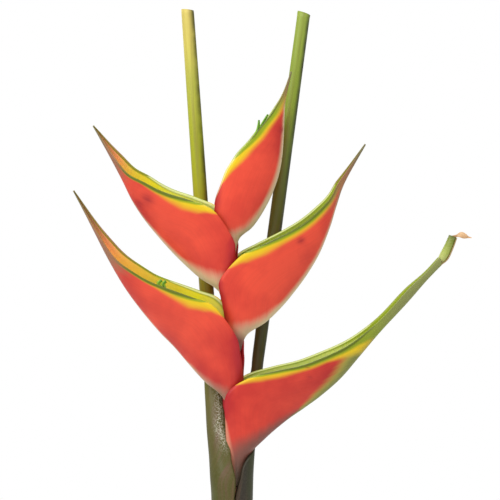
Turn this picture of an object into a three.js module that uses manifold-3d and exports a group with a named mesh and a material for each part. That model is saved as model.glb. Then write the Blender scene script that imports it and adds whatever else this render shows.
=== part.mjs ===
/**
 * Potted heliconia: one flowering shoot of a lobster-claw heliconia in a plain clay pot.
 *
 * Units are millimetres and +Z is up. The origin is the centre of the pot's underside.
 * The flowering head lies close to the XZ plane and shows its best side towards -Y.
 * Heights in the head are measured from the collar, where the lowest bract leaves the sheaths.
 */
import * as THREE from "three";
import { mergeVertices } from "three/addons/utils/BufferGeometryUtils.js";
import Module from "manifold-3d";

const wasm = await Module();
wasm.setup();

// ---------------------------------------------------------------- driving dimensions

const CLEARANCE = 0.3; // air between pieces that touch

// clay pot
const POT_HEIGHT = 165;
const POT_BASE_RADIUS = 64;
const POT_RIM_RADIUS = 96; // outside of the collar at its top
const POT_WALL = 6;
const POT_FLOOR = 9;
const POT_COLLAR_HEIGHT = 34;
const POT_COLLAR_STEP = 4; // how far the collar stands out from the wall below it
const POT_EDGE_ROUND = 2; // rounding at the foot and at the rim
const POT_SEGMENTS = 48;
const DRAIN_HOLE_RADIUS = 6;
const DRAIN_HOLE_COUNT = 3;
const DRAIN_RING_RADIUS = 34; // the middle of the underside stays whole
const DRAIN_FACETS = 16;

// potting mix
const MIX_BELOW_RIM = 22;
const MIX_DOME = 3; // the mix stands this much higher round the stem
const MIX_SEGMENTS = 36;

// stem
const CROWN_DEPTH = 24; // the crown's top lies this far under the mix
const STEM_LENGTH = 187; // from the mix to the collar
const STEM_RADIUS = 12.7; // outer sheath at the collar
const STEM_FOOT_RADIUS = 14.2; // outer sheath at the crown
const SHEATH_WALL = 2.2;
const SHEATH_PLAY = 1; // air between the outer and the inner sheath
const SCALE_LEAF_WALL = 1.5;
const OUTER_SCALE_HEIGHT = 34; // above the mix
const INNER_SCALE_HEIGHT = 72;

// leaf stalks
const STALK_RADIUS = 4.6;
const STALK_TIP_RADIUS = 4.3;
const STALK_SOLID_WALL = 2.9; // from the groove's bottom to the back
const STALK_BACK = 16; // how far the stalks stand behind the bracts' plane
const STALK_TOP = 306.5; // above the collar
const LEFT_CUT_SLOPE = 0.12; // fall of the cut end to the right
const RIGHT_CUT_SLOPE = 0.33;
const LEAST_BORE_SHARE = 0.2; // a channel's bottom stays this share of the radius from its centre
const STALK_FACETS = 12;
const STALK_SECTIONS = 26;
const SCALE_LEAF_FACETS = 14;
const SCALE_LEAF_SECTIONS = 7;

// flower stalk
const FLOWER_STALK_FOOT_RADIUS = 5.2;
const FLOWER_STALK_RADIUS = 4.4; // at the collar
const FLOWER_STALK_TAPER = 0.0145; // loss of radius per millimetre above the collar
const FLOWER_STALK_TOP = 158;
const FLOWER_STALK_FACETS = 10;

// bracts
const BRACT_HALF_WIDTH = 9;
const BRACT_WALL = 1.2;
const KEEL_SHARPNESS = 1.15; // 1 is round, more is sharper
const BRACT_TIP_DEPTH = 0.9;
const WALL_SHARE = 0.45; // the most of a section's half width or radius that its wall may take
const BRACT_FACETS = 8; // across, from rim to rim
const SECTIONS_PER_ROW = 2;

// rolled remnant of the blade at the end of the lowest bract's tail
const ROLLED_BLADE_RADIUS = 3.1;
const DRY_FLAG_THICKNESS = 0.9;
const DRY_FLAG_HALF_WIDTH = 1.7;

// flowers
const FLOWER_RADIUS = 1.9;
const FLOWER_FACETS = 7;
const FLOWER_SECTIONS = 6;

// roots
const RHIZOME_RADIUS = 11;
const RHIZOME_LENGTH = 80;
const RHIZOME_DROP = 26; // its axis lies this far under the crown's top
const ROOT_COUNT = 7;
const ROOT_RADIUS = 1.8;

// ---------------------------------------------------------------- levels that follow

const MIX_LEVEL = POT_HEIGHT - MIX_BELOW_RIM;
const CROWN_LEVEL = MIX_LEVEL - CROWN_DEPTH;
const COLLAR_LEVEL = MIX_LEVEL + STEM_LENGTH;
const INNER_SHEATH_RADIUS = STEM_RADIUS - SHEATH_WALL - SHEATH_PLAY;
const INNER_SHEATH_FOOT_RADIUS = STEM_FOOT_RADIUS - SHEATH_WALL - SHEATH_PLAY;

const degrees = THREE.MathUtils.degToRad;
const lerp = THREE.MathUtils.lerp;

// ---------------------------------------------------------------- curves through rows

/** Catmull-Rom value at s between b and c. */
function catmullRom(a, b, c, d, s) {
  const slopeB = (c - a) / 2;
  const slopeC = (d - b) / 2;
  const s2 = s * s;
  const s3 = s2 * s;
  return (2 * s3 - 3 * s2 + 1) * b + (s3 - 2 * s2 + s) * slopeB
    + (3 * s2 - 2 * s3) * c + (s3 - s2) * slopeC;
}

/** The row of numbers at t = 0..1 along a smooth curve through all rows. */
function alongRows(rows, t) {
  const span = rows.length - 1;
  const place = THREE.MathUtils.clamp(t, 0, 1) * span;
  const i = Math.min(Math.floor(place), span - 1);
  const s = place - i;
  const before = rows[Math.max(i - 1, 0)];
  const after = rows[Math.min(i + 2, span)];
  return rows[i].map((value, k) => catmullRom(before[k], value, rows[i + 1][k], after[k], s));
}

// ---------------------------------------------------------------- solids from sections

/** A geometry from points and triangles, turned so that its faces point outwards. */
function solidGeometry(points, triangles) {
  const geometry = new THREE.BufferGeometry().setFromPoints(points);
  let volume = 0;
  for (const [a, b, c] of triangles) {
    volume += points[a].dot(points[b].clone().cross(points[c]));
  }
  const outward = volume > 0 ? triangles : triangles.map(([a, b, c]) => [a, c, b]);
  geometry.setIndex(outward.flat());
  return geometry;
}

/** Two triangles for the four corners a-b-c-d. */
function quad(a, b, c, d) {
  return [[a, b, c], [a, c, d]];
}

/**
 * A solid wall swept through sections. Each section is {outer, inner}: two open lines with
 * as many points, joined at both edges, so the wall can be a trough, a channel or a split ring.
 */
function sweptWall(sections) {
  const across = sections[0].outer.length;
  const ring = 2 * across;
  const points = sections.flatMap(({ outer, inner }) => [...outer, ...inner.slice().reverse()]);
  const triangles = [];
  for (let row = 0; row + 1 < sections.length; row += 1) {
    for (let k = 0; k < ring; k += 1) {
      const next = (k + 1) % ring;
      const base = row * ring;
      triangles.push(...quad(base + k, base + next, base + ring + next, base + ring + k));
    }
  }
  const lastBase = (sections.length - 1) * ring;
  for (let k = 0; k + 1 < across; k += 1) {
    const opposite = ring - 1 - k;
    const far = lastBase + opposite;
    triangles.push(...quad(opposite, opposite - 1, k + 1, k));
    triangles.push(...quad(lastBase + k, lastBase + k + 1, far - 1, far));
  }
  return solidGeometry(points, triangles);
}

/** A solid rod through closed rings of points, with a flat fan at each end. */
function sweptRod(rings) {
  const count = rings[0].length;
  const points = rings.flat();
  const triangles = [];
  for (let row = 0; row + 1 < rings.length; row += 1) {
    for (let k = 0; k < count; k += 1) {
      const next = (k + 1) % count;
      const base = row * count;
      triangles.push(...quad(base + k, base + next, base + count + next, base + count + k));
    }
  }
  const lastBase = (rings.length - 1) * count;
  for (let k = 1; k + 1 < count; k += 1) {
    triangles.push([0, k + 1, k]);
    triangles.push([lastBase, lastBase + k, lastBase + k + 1]);
  }
  return solidGeometry(points, triangles);
}

/**
 * A rod of changing radius along points; each row is [x, y, z, radius]. flatten thins it one way,
 * and grow makes it larger all round and longer at both ends.
 */
function taperedRod(rows, facets, steps, { flatten = 1, grow = 0 } = {}) {
  const centres = [];
  const radii = [];
  for (let i = 0; i <= steps; i += 1) {
    const [x, y, z, radius] = alongRows(rows, i / steps);
    centres.push(new THREE.Vector3(x, y, z));
    radii.push(radius + grow);
  }
  const rings = centres.map((centre, i) => {
    const ahead = centres[Math.min(i + 1, steps)];
    const behind = centres[Math.max(i - 1, 0)];
    const along = ahead.clone().sub(behind).normalize();
    const reference = new THREE.Vector3(0, 1, 0);
    const side = reference.clone().addScaledVector(along, -reference.dot(along)).normalize();
    const up = side.clone().cross(along);
    const reach = (i === steps ? grow : 0) - (i === 0 ? grow : 0);
    centre.addScaledVector(along, reach);
    return Array.from({ length: facets }, (_, k) => {
      const angle = (2 * Math.PI * k) / facets;
      return centre.clone()
        .addScaledVector(side, radii[i] * Math.cos(angle))
        .addScaledVector(up, radii[i] * flatten * Math.sin(angle));
    });
  });
  return sweptRod(rings);
}

// ---------------------------------------------------------------- cutting and joining

/** The manifold solid of a geometry. */
function toSolid(geometry) {
  const bare = geometry.clone();
  bare.deleteAttribute("normal");
  bare.deleteAttribute("uv");
  const merged = mergeVertices(bare);
  return new wasm.Manifold(new wasm.Mesh({
    numProp: 3,
    vertProperties: new Float32Array(merged.attributes.position.array),
    triVerts: new Uint32Array(merged.index.array),
  }));
}

/** The geometry of a manifold solid. */
function toGeometry(solid) {
  const mesh = solid.getMesh();
  const geometry = new THREE.BufferGeometry();
  geometry.setAttribute("position", new THREE.BufferAttribute(mesh.vertProperties, mesh.numProp));
  geometry.setIndex(new THREE.BufferAttribute(mesh.triVerts, 1));
  return geometry;
}

/** A geometry with others cut away from it. */
function cutAway(geometry, cutters) {
  const rest = cutters.reduce((solid, cutter) => solid.subtract(toSolid(cutter)), toSolid(geometry));
  return toGeometry(rest);
}

/** Geometries joined into one body. */
function joined(geometries) {
  return toGeometry(geometries.map(toSolid).reduce((whole, solid) => whole.add(solid)));
}

// ---------------------------------------------------------------- flower stalk

/** The flower stalk's way up the stem and through the bracts: [x, height above the collar]. */
const FLOWER_STALK_WAY = [
  [0.8, CROWN_LEVEL - COLLAR_LEVEL],
  [2, -60],
  [2.5, 0],
  [2.1, 40],
  [1.4, 80],
  [-0.2, 116],
  [-1.8, 148],
  [-1.9, FLOWER_STALK_TOP],
];

/** The flower stalk's centre and radius at a height above the collar. */
function flowerStalkAt(height) {
  const above = FLOWER_STALK_WAY.findIndex(([, h]) => h >= height);
  const upper = Math.max(above, 1);
  const [x0, h0] = FLOWER_STALK_WAY[upper - 1];
  const [x1, h1] = FLOWER_STALK_WAY[upper];
  const foot = CROWN_LEVEL - COLLAR_LEVEL;
  const radius = height < 0
    ? lerp(FLOWER_STALK_FOOT_RADIUS, FLOWER_STALK_RADIUS, (height - foot) / -foot)
    : FLOWER_STALK_RADIUS - FLOWER_STALK_TAPER * height;
  return { x: lerp(x0, x1, (height - h0) / (h1 - h0)), radius };
}

/** The flower stalk's solid; grow makes it larger all round, for cutting room for it. */
function flowerStalk(grow = 0) {
  const rows = FLOWER_STALK_WAY.map(([x, height]) => {
    const { radius } = flowerStalkAt(height);
    return [x, 0, COLLAR_LEVEL + height, radius];
  });
  return taperedRod(rows, FLOWER_STALK_FACETS, 2 * (rows.length - 1), { grow });
}

// ---------------------------------------------------------------- bracts

/**
 * Each bract is a folded boat. ringHeight is where its foot clasps the flower stalk and side is
 * +1 where it points right. Each row pairs a point of the keel with one of the rim's upper line,
 * as [keel x, keel height, rim x, rim height]. roll tips the opening towards -Y, in degrees, at
 * the foot, the mouth, the middle and the tip.
 */
const BRACTS = {
  bract_lower_right: {
    side: 1,
    ringHeight: 9,
    roll: [0, 8, 15, 6],
    rows: [
      [10, 26, -3.2, 27],
      [21, 38.3, -4.4, 46],
      [34, 49, -5, 65.5],
      [45, 56.5, 8, 77],
      [56, 64.5, 26, 82.3],
      [68, 75.2, 46, 87.6],
      [79.5, 89, 68, 97],
      [92, 104, 87, 109.5],
      [108.5, 121.8, 104, 127],
      [121, 136.2, 117.6, 139.6],
      [131.3, 146.8, 128.3, 150.3],
    ],
  },
  bract_lower_left: {
    side: -1,
    ringHeight: 60,
    roll: [0, 20, 24, 70],
    rows: [
      [-7.8, 66, 7.4, 77],
      [-16.8, 72.6, 7.4, 90],
      [-27.2, 82.6, 5.5, 103],
      [-37.3, 93.6, -7, 122.2],
      [-46.3, 103.4, -21, 129.2],
      [-58.3, 118.6, -39, 135.4],
      [-68.2, 132.8, -54, 142.6],
      [-77, 148.3, -69, 153.5],
      [-86.2, 166.1, -82, 168.2],
      [-98.9, 191.4, -98.2, 191.8],
    ],
  },
  bract_upper_right: {
    side: 1,
    ringHeight: 93,
    roll: [0, 8, 14, 20],
    rows: [
      [9.5, 102.5, -5, 113],
      [21, 110, -7, 125],
      [31.4, 119.8, -8.9, 136],
      [39.9, 129.8, 1.5, 150.5],
      [47.4, 140.1, 15, 158.7],
      [54.8, 153, 33, 167.5],
      [61, 168.8, 50, 179.2],
      [65.1, 182.5, 60, 189.5],
      [70.4, 197.4, 67, 200.3],
      [83.1, 220.2, 82.5, 220.7],
    ],
  },
  bract_upper_left: {
    side: -1,
    ringHeight: 126,
    roll: [0, 12, 20, 62],
    rows: [
      [-10.6, 131.5, 3.4, 140],
      [-19.4, 137, 3.6, 151],
      [-28.4, 144.5, 3, 161.5],
      [-37.9, 153.5, -7, 179],
      [-46.4, 163.1, -21, 187],
      [-55.3, 174.2, -36, 191.8],
      [-62.7, 185.7, -50.5, 199.5],
      [-69.1, 199, -62, 206.2],
      [-76.4, 212.8, -72.5, 216.7],
      [-86.5, 231.7, -85.9, 232.1],
    ],
  },
  bract_top: {
    side: 1,
    ringHeight: 150,
    roll: [0, 5, 8, 10],
    rows: [
      [4.5, 161.7, -9.5, 166],
      [13.5, 170, -11.5, 180],
      [22.5, 184.3, -9, 191],
      [28.5, 199, -4, 203.8],
      [31.3, 212.5, 2, 213.7],
      [32.3, 226, 11.5, 224.8],
      [32.7, 238, 21.5, 237],
      [33.6, 249, 29.5, 248.5],
      [37.2, 265.2, 36.6, 265.6],
    ],
  },
};

/** How far the walls curl round from the keel, in degrees: foot, mouth, middle, tip. */
const BRACT_CURL = [150, 128, 104, 96];

/** A bract's rows with the row that clasps the flower stalk put first. */
function rowsWithRing(bract) {
  const { x, radius } = flowerStalkAt(bract.ringHeight);
  const reach = radius + CLEARANCE + BRACT_WALL;
  const keelX = x + bract.side * reach;
  const rimX = x - bract.side * reach;
  return [[keelX, bract.ringHeight - 0.5, rimX, bract.ringHeight + 0.5], ...bract.rows];
}

/** The frame of a bract's section at t = 0..1: its keel point, its axes and its sizes. */
function bractFrame(bract, t) {
  const [keelX, keelH, rimX, rimH] = alongRows(rowsWithRing(bract), t);
  const keel = new THREE.Vector3(keelX, 0, COLLAR_LEVEL + keelH);
  const rim = new THREE.Vector3(rimX, 0, COLLAR_LEVEL + rimH);
  const flatUp = rim.clone().sub(keel).normalize();
  const span = Math.max(rim.distanceTo(keel), BRACT_TIP_DEPTH);
  const halfWidth = BRACT_HALF_WIDTH * Math.tanh(span / (2 * BRACT_HALF_WIDTH));
  const roll = degrees(alongRows(bract.roll.map((value) => [value]), t)[0]);
  const curl = degrees(alongRows(BRACT_CURL.map((value) => [value]), t)[0]);
  const rimHalfWidth = halfWidth * Math.sin(curl);
  const depth = (span - rimHalfWidth * Math.sin(roll)) / Math.cos(roll);
  const back = new THREE.Vector3(0, 1, 0);
  const up = flatUp.clone().multiplyScalar(Math.cos(roll)).addScaledVector(back, -Math.sin(roll));
  const across = back.multiplyScalar(Math.cos(roll)).addScaledVector(flatUp, Math.sin(roll));
  const foot = keel.clone().addScaledVector(flatUp, 0.5 * depth).addScaledVector(up, -0.5 * depth);
  return { foot, up, across, depth, halfWidth, curl };
}

/** A point of a bract's section, rise along its depth and shift across it. */
function inFrame({ foot, up, across }, rise, shift) {
  return foot.clone().addScaledVector(up, rise).addScaledVector(across, shift);
}

/** The two lines of a bract's wall at t; grow makes the outer one larger. */
function bractSection(bract, t, grow = 0) {
  const frame = bractFrame(bract, t);
  const { depth, halfWidth, curl } = frame;
  const centre = depth / (1 - Math.cos(curl));
  const wall = Math.min(BRACT_WALL, WALL_SHARE * halfWidth, WALL_SHARE * centre);
  const line = (inset) => Array.from({ length: BRACT_FACETS + 1 }, (_, k) => {
    const angle = curl * (2 * k / BRACT_FACETS - 1);
    const bulge = Math.sign(angle) * Math.abs(Math.sin(angle)) ** KEEL_SHARPNESS;
    return inFrame(frame, centre - (centre - inset) * Math.cos(angle), (halfWidth - inset) * bulge);
  });
  return { outer: line(-grow), inner: line(wall) };
}

/** The bract's wall, as a trough from its clasping foot to its tip. */
function bractWall(bract) {
  const steps = SECTIONS_PER_ROW * bract.rows.length;
  const sections = Array.from({ length: steps + 1 }, (_, i) => bractSection(bract, i / steps));
  return sweptWall(sections);
}

/** The bract filled up to its rim and slightly larger, to cut room for it. */
function bractFilled(bract) {
  const steps = SECTIONS_PER_ROW * bract.rows.length;
  const rings = Array.from({ length: steps + 1 }, (_, i) => (
    bractSection(bract, i / steps, CLEARANCE).outer
  ));
  return sweptRod(rings);
}

/** The rolled remnant of the blade and its dry flag, grown on the lowest bract's tail. */
function rolledBlade() {
  const tail = bractFrame(BRACTS.bract_lower_right, 1);
  const start = inFrame(tail, 0.5 * tail.depth, 0);
  const from = (x, y, z, radius) => [start.x + x, start.y + y, start.z + z, radius];
  const roll = taperedRod([
    from(-1.5, 0, -1.5, 0.5 * ROLLED_BLADE_RADIUS),
    from(1.6, 0, 2.6, ROLLED_BLADE_RADIUS),
    from(4.6, 0, 8.6, ROLLED_BLADE_RADIUS - 0.2),
    from(7.1, 0, 14.6, ROLLED_BLADE_RADIUS - 0.8),
  ], 8, 6, { flatten: 0.9 });
  const half = DRY_FLAG_THICKNESS / 2;
  const flag = taperedRod([
    from(6.6, 0, 14, half),
    from(10.4, -0.4, 15.8, half),
    from(14.2, 0, 15.4, half),
    from(18.8, 0.6, 14, 0.5 * half),
  ], 6, 6, { flatten: DRY_FLAG_HALF_WIDTH / half });
  return [roll, flag];
}

// ---------------------------------------------------------------- leaf stalks and scale leaves

/**
 * A channelled stalk or split sheath. Each row is [height, x, y, radius, wall, facing, gape]; it
 * opens towards facing, by gape degrees to each side.
 */
function channelled(rows, steps, facets, topSlope = 0) {
  const sections = Array.from({ length: steps + 1 }, (_, i) => {
    const [height, x, y, radius, wall, facing, gape] = alongRows(rows, i / steps);
    const from = degrees(facing + gape);
    const sweep = degrees(360 - 2 * gape);
    const tilt = i === steps ? topSlope : 0;
    const line = (r) => Array.from({ length: facets + 1 }, (__, k) => {
      const angle = from + (sweep * k) / facets;
      const dx = r * Math.cos(angle);
      return new THREE.Vector3(x + dx, y + r * Math.sin(angle), COLLAR_LEVEL + height - tilt * dx);
    });
    const bore = Math.max(radius - wall, LEAST_BORE_SHARE * radius);
    return { outer: line(radius), inner: line(bore) };
  });
  return sweptWall(sections);
}

const CROWN_HEIGHT = CROWN_LEVEL - COLLAR_LEVEL; // the crown's top, measured from the collar

/** The outer leaf: its sheath wraps the stem from the left and opens to the right. */
const LEFT_LEAF_ROWS = [
  [CROWN_HEIGHT, 0, 0, STEM_FOOT_RADIUS, SHEATH_WALL, 0, 40],
  [-100, 0, 0, lerp(STEM_RADIUS, STEM_FOOT_RADIUS, 0.5), SHEATH_WALL, 0, 55],
  [0, 0, 0, STEM_RADIUS, SHEATH_WALL, 0, 86],
  [14, -1.2, 0.3, STEM_RADIUS - 0.3, SHEATH_WALL, 0, 75],
  [27, -4.4, 1.8, 0.5 * (STEM_RADIUS + STALK_RADIUS) + 1.3, SHEATH_WALL, 0, 68],
  [43, -7.8, 4.4, STALK_RADIUS + 3.4, SHEATH_WALL + 0.2, 0, 62],
  [56, -10.2, 7.6, STALK_RADIUS + 1.8, SHEATH_WALL + 0.4, 0, 44],
  [74, -12.2, 12, STALK_RADIUS + 0.8, STALK_SOLID_WALL, 0, 36],
  [98, -13, STALK_BACK + 0.5, STALK_RADIUS + 0.3, STALK_SOLID_WALL, 0, 32],
  [130, -15.9, STALK_BACK + 1, STALK_RADIUS + 0.3, STALK_SOLID_WALL, 0, 32],
  [198, -20.4, STALK_BACK + 1, STALK_RADIUS + 0.2, STALK_SOLID_WALL, 0, 32],
  [STALK_TOP, -28, STALK_BACK + 1, STALK_TIP_RADIUS, STALK_SOLID_WALL, 0, 32],
];

/** The inner leaf: its sheath lies within the other and opens to the left. */
const RIGHT_LEAF_ROWS = [
  [CROWN_HEIGHT, 0.7, 0, INNER_SHEATH_FOOT_RADIUS, SHEATH_WALL, 180, 45],
  [-100, 1.4, 0, lerp(INNER_SHEATH_RADIUS, INNER_SHEATH_FOOT_RADIUS, 0.5), SHEATH_WALL, 180, 60],
  [0, 3.4, 0, INNER_SHEATH_RADIUS, SHEATH_WALL, 180, 80],
  [14, 4.1, 0.4, INNER_SHEATH_RADIUS - 0.3, SHEATH_WALL, 182, 98],
  [24, 4.7, 1.4, INNER_SHEATH_RADIUS - 0.4, SHEATH_WALL, 190, 108],
  [34, 6, 5, INNER_SHEATH_RADIUS - 0.9, SHEATH_WALL, 240, 118],
  [46, 10, 11, STALK_RADIUS + 1, SHEATH_WALL, 268, 100],
  [60, 13.2, 14.6, STALK_RADIUS, STALK_SOLID_WALL, 250, 50],
  [81, 15.4, STALK_BACK, STALK_RADIUS - 0.6, STALK_SOLID_WALL, 180, 35],
  [105, 18.4, STALK_BACK, STALK_RADIUS - 0.3, STALK_SOLID_WALL, 180, 32],
  [164, 26, STALK_BACK, STALK_RADIUS + 0.1, STALK_SOLID_WALL, 180, 32],
  [STALK_TOP - 2, 44.9, STALK_BACK, STALK_TIP_RADIUS + 0.1, STALK_SOLID_WALL, 180, 32],
];

/** A short dry scale leaf round the stem's foot, open at facing and pointed at its top. */
function scaleLeaf(innerRadius, heightAboveMix, facing) {
  const radius = innerRadius + SCALE_LEAF_WALL;
  const bottom = CROWN_HEIGHT + 4;
  const mix = MIX_LEVEL - COLLAR_LEVEL;
  return channelled([
    [bottom, 0, 0, radius, SCALE_LEAF_WALL, facing, 30],
    [mix, 0, 0, radius, SCALE_LEAF_WALL, facing, 50],
    [mix + 0.55 * heightAboveMix, 0, 0, radius, SCALE_LEAF_WALL, facing, 105],
    [mix + heightAboveMix, 0, 0, radius, SCALE_LEAF_WALL, facing, 170],
  ], SCALE_LEAF_SECTIONS, SCALE_LEAF_FACETS);
}

const SCALE_LEAF_AIR = 4 * CLEARANCE; // nested split rings have facets that do not line up
const INNER_SCALE_RADIUS = STEM_FOOT_RADIUS + SCALE_LEAF_AIR;
const OUTER_SCALE_RADIUS = INNER_SCALE_RADIUS + SCALE_LEAF_WALL + SCALE_LEAF_AIR;

// ---------------------------------------------------------------- flowers

/**
 * Each flower or bud lies in a bract. Its way is given by rows of [place along the bract 0..1,
 * rise as a share of the bract's depth, shift across in millimetres, radius].
 */
const FLOWERS = {
  flower_top_front: {
    bract: "bract_top",
    way: [
      [0.46, 0.5, -2.2, FLOWER_RADIUS - 0.5],
      [0.62, 0.78, -2.2, FLOWER_RADIUS],
      [0.72, 1.02, -1.6, FLOWER_RADIUS - 0.7],
      [0.8, 1.4, -1, 0.6],
    ],
  },
  flower_top_back: {
    bract: "bract_top",
    way: [
      [0.46, 0.5, 2.4, FLOWER_RADIUS - 0.5],
      [0.62, 0.74, 2.4, FLOWER_RADIUS],
      [0.73, 0.96, 2, FLOWER_RADIUS - 0.7],
      [0.8, 1.14, 2, 0.6],
    ],
  },
  flower_upper_left: {
    bract: "bract_upper_left",
    way: [
      [0.34, 0.42, 0, FLOWER_RADIUS - 0.4],
      [0.5, 0.5, 0, FLOWER_RADIUS + 0.3],
      [0.66, 0.72, 0, 0.8],
    ],
  },
  flower_upper_right: {
    bract: "bract_upper_right",
    way: [
      [0.34, 0.42, 0, FLOWER_RADIUS - 0.4],
      [0.5, 0.5, 0, FLOWER_RADIUS + 0.3],
      [0.66, 0.7, 0, 0.8],
    ],
  },
  flower_lower_left_front: {
    bract: "bract_lower_left",
    way: [
      [0.34, 0.4, -2.6, FLOWER_RADIUS - 0.4],
      [0.52, 0.68, -2.4, FLOWER_RADIUS],
      [0.645, 1.04, -2.2, FLOWER_RADIUS - 0.2],
    ],
  },
  flower_lower_left_back: {
    bract: "bract_lower_left",
    way: [
      [0.34, 0.4, 2.6, FLOWER_RADIUS - 0.4],
      [0.5, 0.5, 2.6, FLOWER_RADIUS],
      [0.66, 0.66, 1.6, 0.8],
    ],
  },
  flower_lower_right_front: {
    bract: "bract_lower_right",
    way: [
      [0.3, 0.42, -2.6, FLOWER_RADIUS - 0.4],
      [0.42, 0.46, -2.6, FLOWER_RADIUS],
      [0.54, 0.62, -1.6, 0.8],
    ],
  },
  flower_lower_right_back: {
    bract: "bract_lower_right",
    way: [
      [0.32, 0.46, 2.6, FLOWER_RADIUS - 0.5],
      [0.44, 0.56, 2.6, FLOWER_RADIUS],
      [0.57, 0.72, 1.4, 0.8],
    ],
  },
};

/** A flower's solid, a tapering tube that lies in its bract. */
function flower({ bract, way }) {
  const rows = way.map(([t, rise, shift, radius]) => {
    const frame = bractFrame(BRACTS[bract], t);
    return [...inFrame(frame, rise * frame.depth, shift).toArray(), radius];
  });
  return taperedRod(rows, FLOWER_FACETS, FLOWER_SECTIONS);
}

// ---------------------------------------------------------------- pot, mix and rhizome

/** The pot wall's outer radius, below the collar, at a height. */
function potWallRadius(height) {
  const atRim = POT_RIM_RADIUS - POT_COLLAR_STEP;
  return lerp(POT_BASE_RADIUS, atRim, height / POT_HEIGHT);
}

/** The pot's inner radius at a height. */
function potBoreRadius(height) {
  return potWallRadius(height) - POT_WALL;
}

/** A closed solid of revolution from [radius, height] points that start and end on the axis. */
function turned(profile, segments) {
  return new THREE.LatheGeometry(profile.map(([r, z]) => new THREE.Vector2(r, z)), segments)
    .rotateX(Math.PI / 2);
}

/** The clay pot with its collar and its drain holes. */
function clayPot() {
  const collarFoot = POT_HEIGHT - POT_COLLAR_HEIGHT;
  const collarFootRadius = potWallRadius(collarFoot) + POT_COLLAR_STEP;
  const body = turned([
    [0, 0],
    [POT_BASE_RADIUS - POT_EDGE_ROUND, 0],
    [POT_BASE_RADIUS, POT_EDGE_ROUND],
    [potWallRadius(collarFoot), collarFoot],
    [collarFootRadius, collarFoot + POT_EDGE_ROUND],
    [POT_RIM_RADIUS, POT_HEIGHT - POT_EDGE_ROUND],
    [POT_RIM_RADIUS - POT_EDGE_ROUND, POT_HEIGHT],
    [potBoreRadius(POT_HEIGHT) + POT_EDGE_ROUND, POT_HEIGHT],
    [potBoreRadius(POT_HEIGHT), POT_HEIGHT - POT_EDGE_ROUND],
    [potBoreRadius(POT_FLOOR), POT_FLOOR],
    [0, POT_FLOOR],
  ], POT_SEGMENTS);
  const through = 3 * POT_FLOOR; // a drill about the underside, longer than the floor is thick
  const drains = Array.from({ length: DRAIN_HOLE_COUNT }, (_, i) => {
    const angle = (2 * Math.PI * i) / DRAIN_HOLE_COUNT + Math.PI / 2;
    return new THREE.CylinderGeometry(DRAIN_HOLE_RADIUS, DRAIN_HOLE_RADIUS, through, DRAIN_FACETS)
      .rotateX(Math.PI / 2)
      .translate(DRAIN_RING_RADIUS * Math.cos(angle), DRAIN_RING_RADIUS * Math.sin(angle), 0);
  });
  return cutAway(body, drains);
}

/** The rhizome with its crown and roots; grow makes it larger, for cutting room in the mix. */
function rhizome(grow = 0) {
  const top = CROWN_LEVEL - CLEARANCE;
  const axis = CROWN_LEVEL - RHIZOME_DROP;
  const half = RHIZOME_LENGTH / 2;
  const crown = taperedRod([
    [0, 0, axis - 4, RHIZOME_RADIUS - 1],
    [0, 0, axis + 8, STEM_FOOT_RADIUS],
    [0, 0, top, STEM_FOOT_RADIUS - 1.5],
  ], 12, 4, { grow });
  const creeping = taperedRod([
    [-half, 4, axis + 3, 5],
    [-0.7 * half, 3, axis + 1, RHIZOME_RADIUS],
    [-0.35 * half, 1, axis, RHIZOME_RADIUS - 1.5],
    [0, 0, axis, RHIZOME_RADIUS],
    [0.4 * half, -3, axis + 1, RHIZOME_RADIUS - 2],
    [0.65 * half, -6, axis + 7, 5],
  ], 10, 10, { grow });
  const roots = Array.from({ length: ROOT_COUNT }, (_, i) => {
    const angle = (2 * Math.PI * (i + 0.35)) / ROOT_COUNT;
    const reach = 0.5 * RHIZOME_LENGTH + 5 * Math.sin(5 * i);
    const droop = 3 * Math.cos(3 * i);
    const along = (r, turn) => [r * Math.cos(angle + turn), r * Math.sin(angle + turn)];
    return taperedRod([
      [...along(4, 0), axis - 3, ROOT_RADIUS],
      [...along(0.55 * reach, 0.15), axis - 15, ROOT_RADIUS],
      [...along(0.9 * reach, 0.4), axis - 34 - droop, 0.8 * ROOT_RADIUS],
      [...along(reach, 0.6), axis - 54 - droop, 0.4 * ROOT_RADIUS],
    ], 5, 6, { grow });
  });
  return joined([crown, creeping, ...roots]);
}

/** The potting mix, with room for the rhizome and a hole for the stem. */
function pottingMix() {
  const bottom = POT_FLOOR + CLEARANCE;
  const stemHole = OUTER_SCALE_RADIUS + SCALE_LEAF_WALL + CLEARANCE;
  const body = turned([
    [0, bottom],
    [potBoreRadius(bottom) - CLEARANCE, bottom],
    [potBoreRadius(MIX_LEVEL) - CLEARANCE, MIX_LEVEL],
    [0.6 * potBoreRadius(MIX_LEVEL), MIX_LEVEL + 0.5 * MIX_DOME],
    [2 * stemHole, MIX_LEVEL + MIX_DOME],
    [0, MIX_LEVEL + MIX_DOME],
  ], MIX_SEGMENTS);
  const hole = new THREE.CylinderGeometry(stemHole, stemHole, 2 * CROWN_DEPTH, MIX_SEGMENTS)
    .rotateX(Math.PI / 2)
    .translate(0, 0, CROWN_LEVEL + CROWN_DEPTH);
  return cutAway(body, [hole, rhizome(CLEARANCE)]);
}

// ---------------------------------------------------------------- materials

const clay = { color: "#b5643f", roughness: 0.9, metalness: 0 };
const mix = { color: "#3a2a20", roughness: 1, metalness: 0 };
const root = { color: "#b79a6c", roughness: 0.85, metalness: 0 };
const dryScale = { color: "#8a6f4d", roughness: 0.8, metalness: 0 };
const leftStalkSkin = { color: "#a9ad3c", roughness: 0.5, metalness: 0 };
const rightStalkSkin = { color: "#7c9a2c", roughness: 0.5, metalness: 0 };
const flowerStalkSkin = { color: "#c0604a", roughness: 0.55, metalness: 0 };
const bractSkin = { color: "#df4f3a", roughness: 0.45, metalness: 0 };
const flowerSkin = { color: "#7fa03a", roughness: 0.5, metalness: 0 };

const plant = new THREE.Group();

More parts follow.
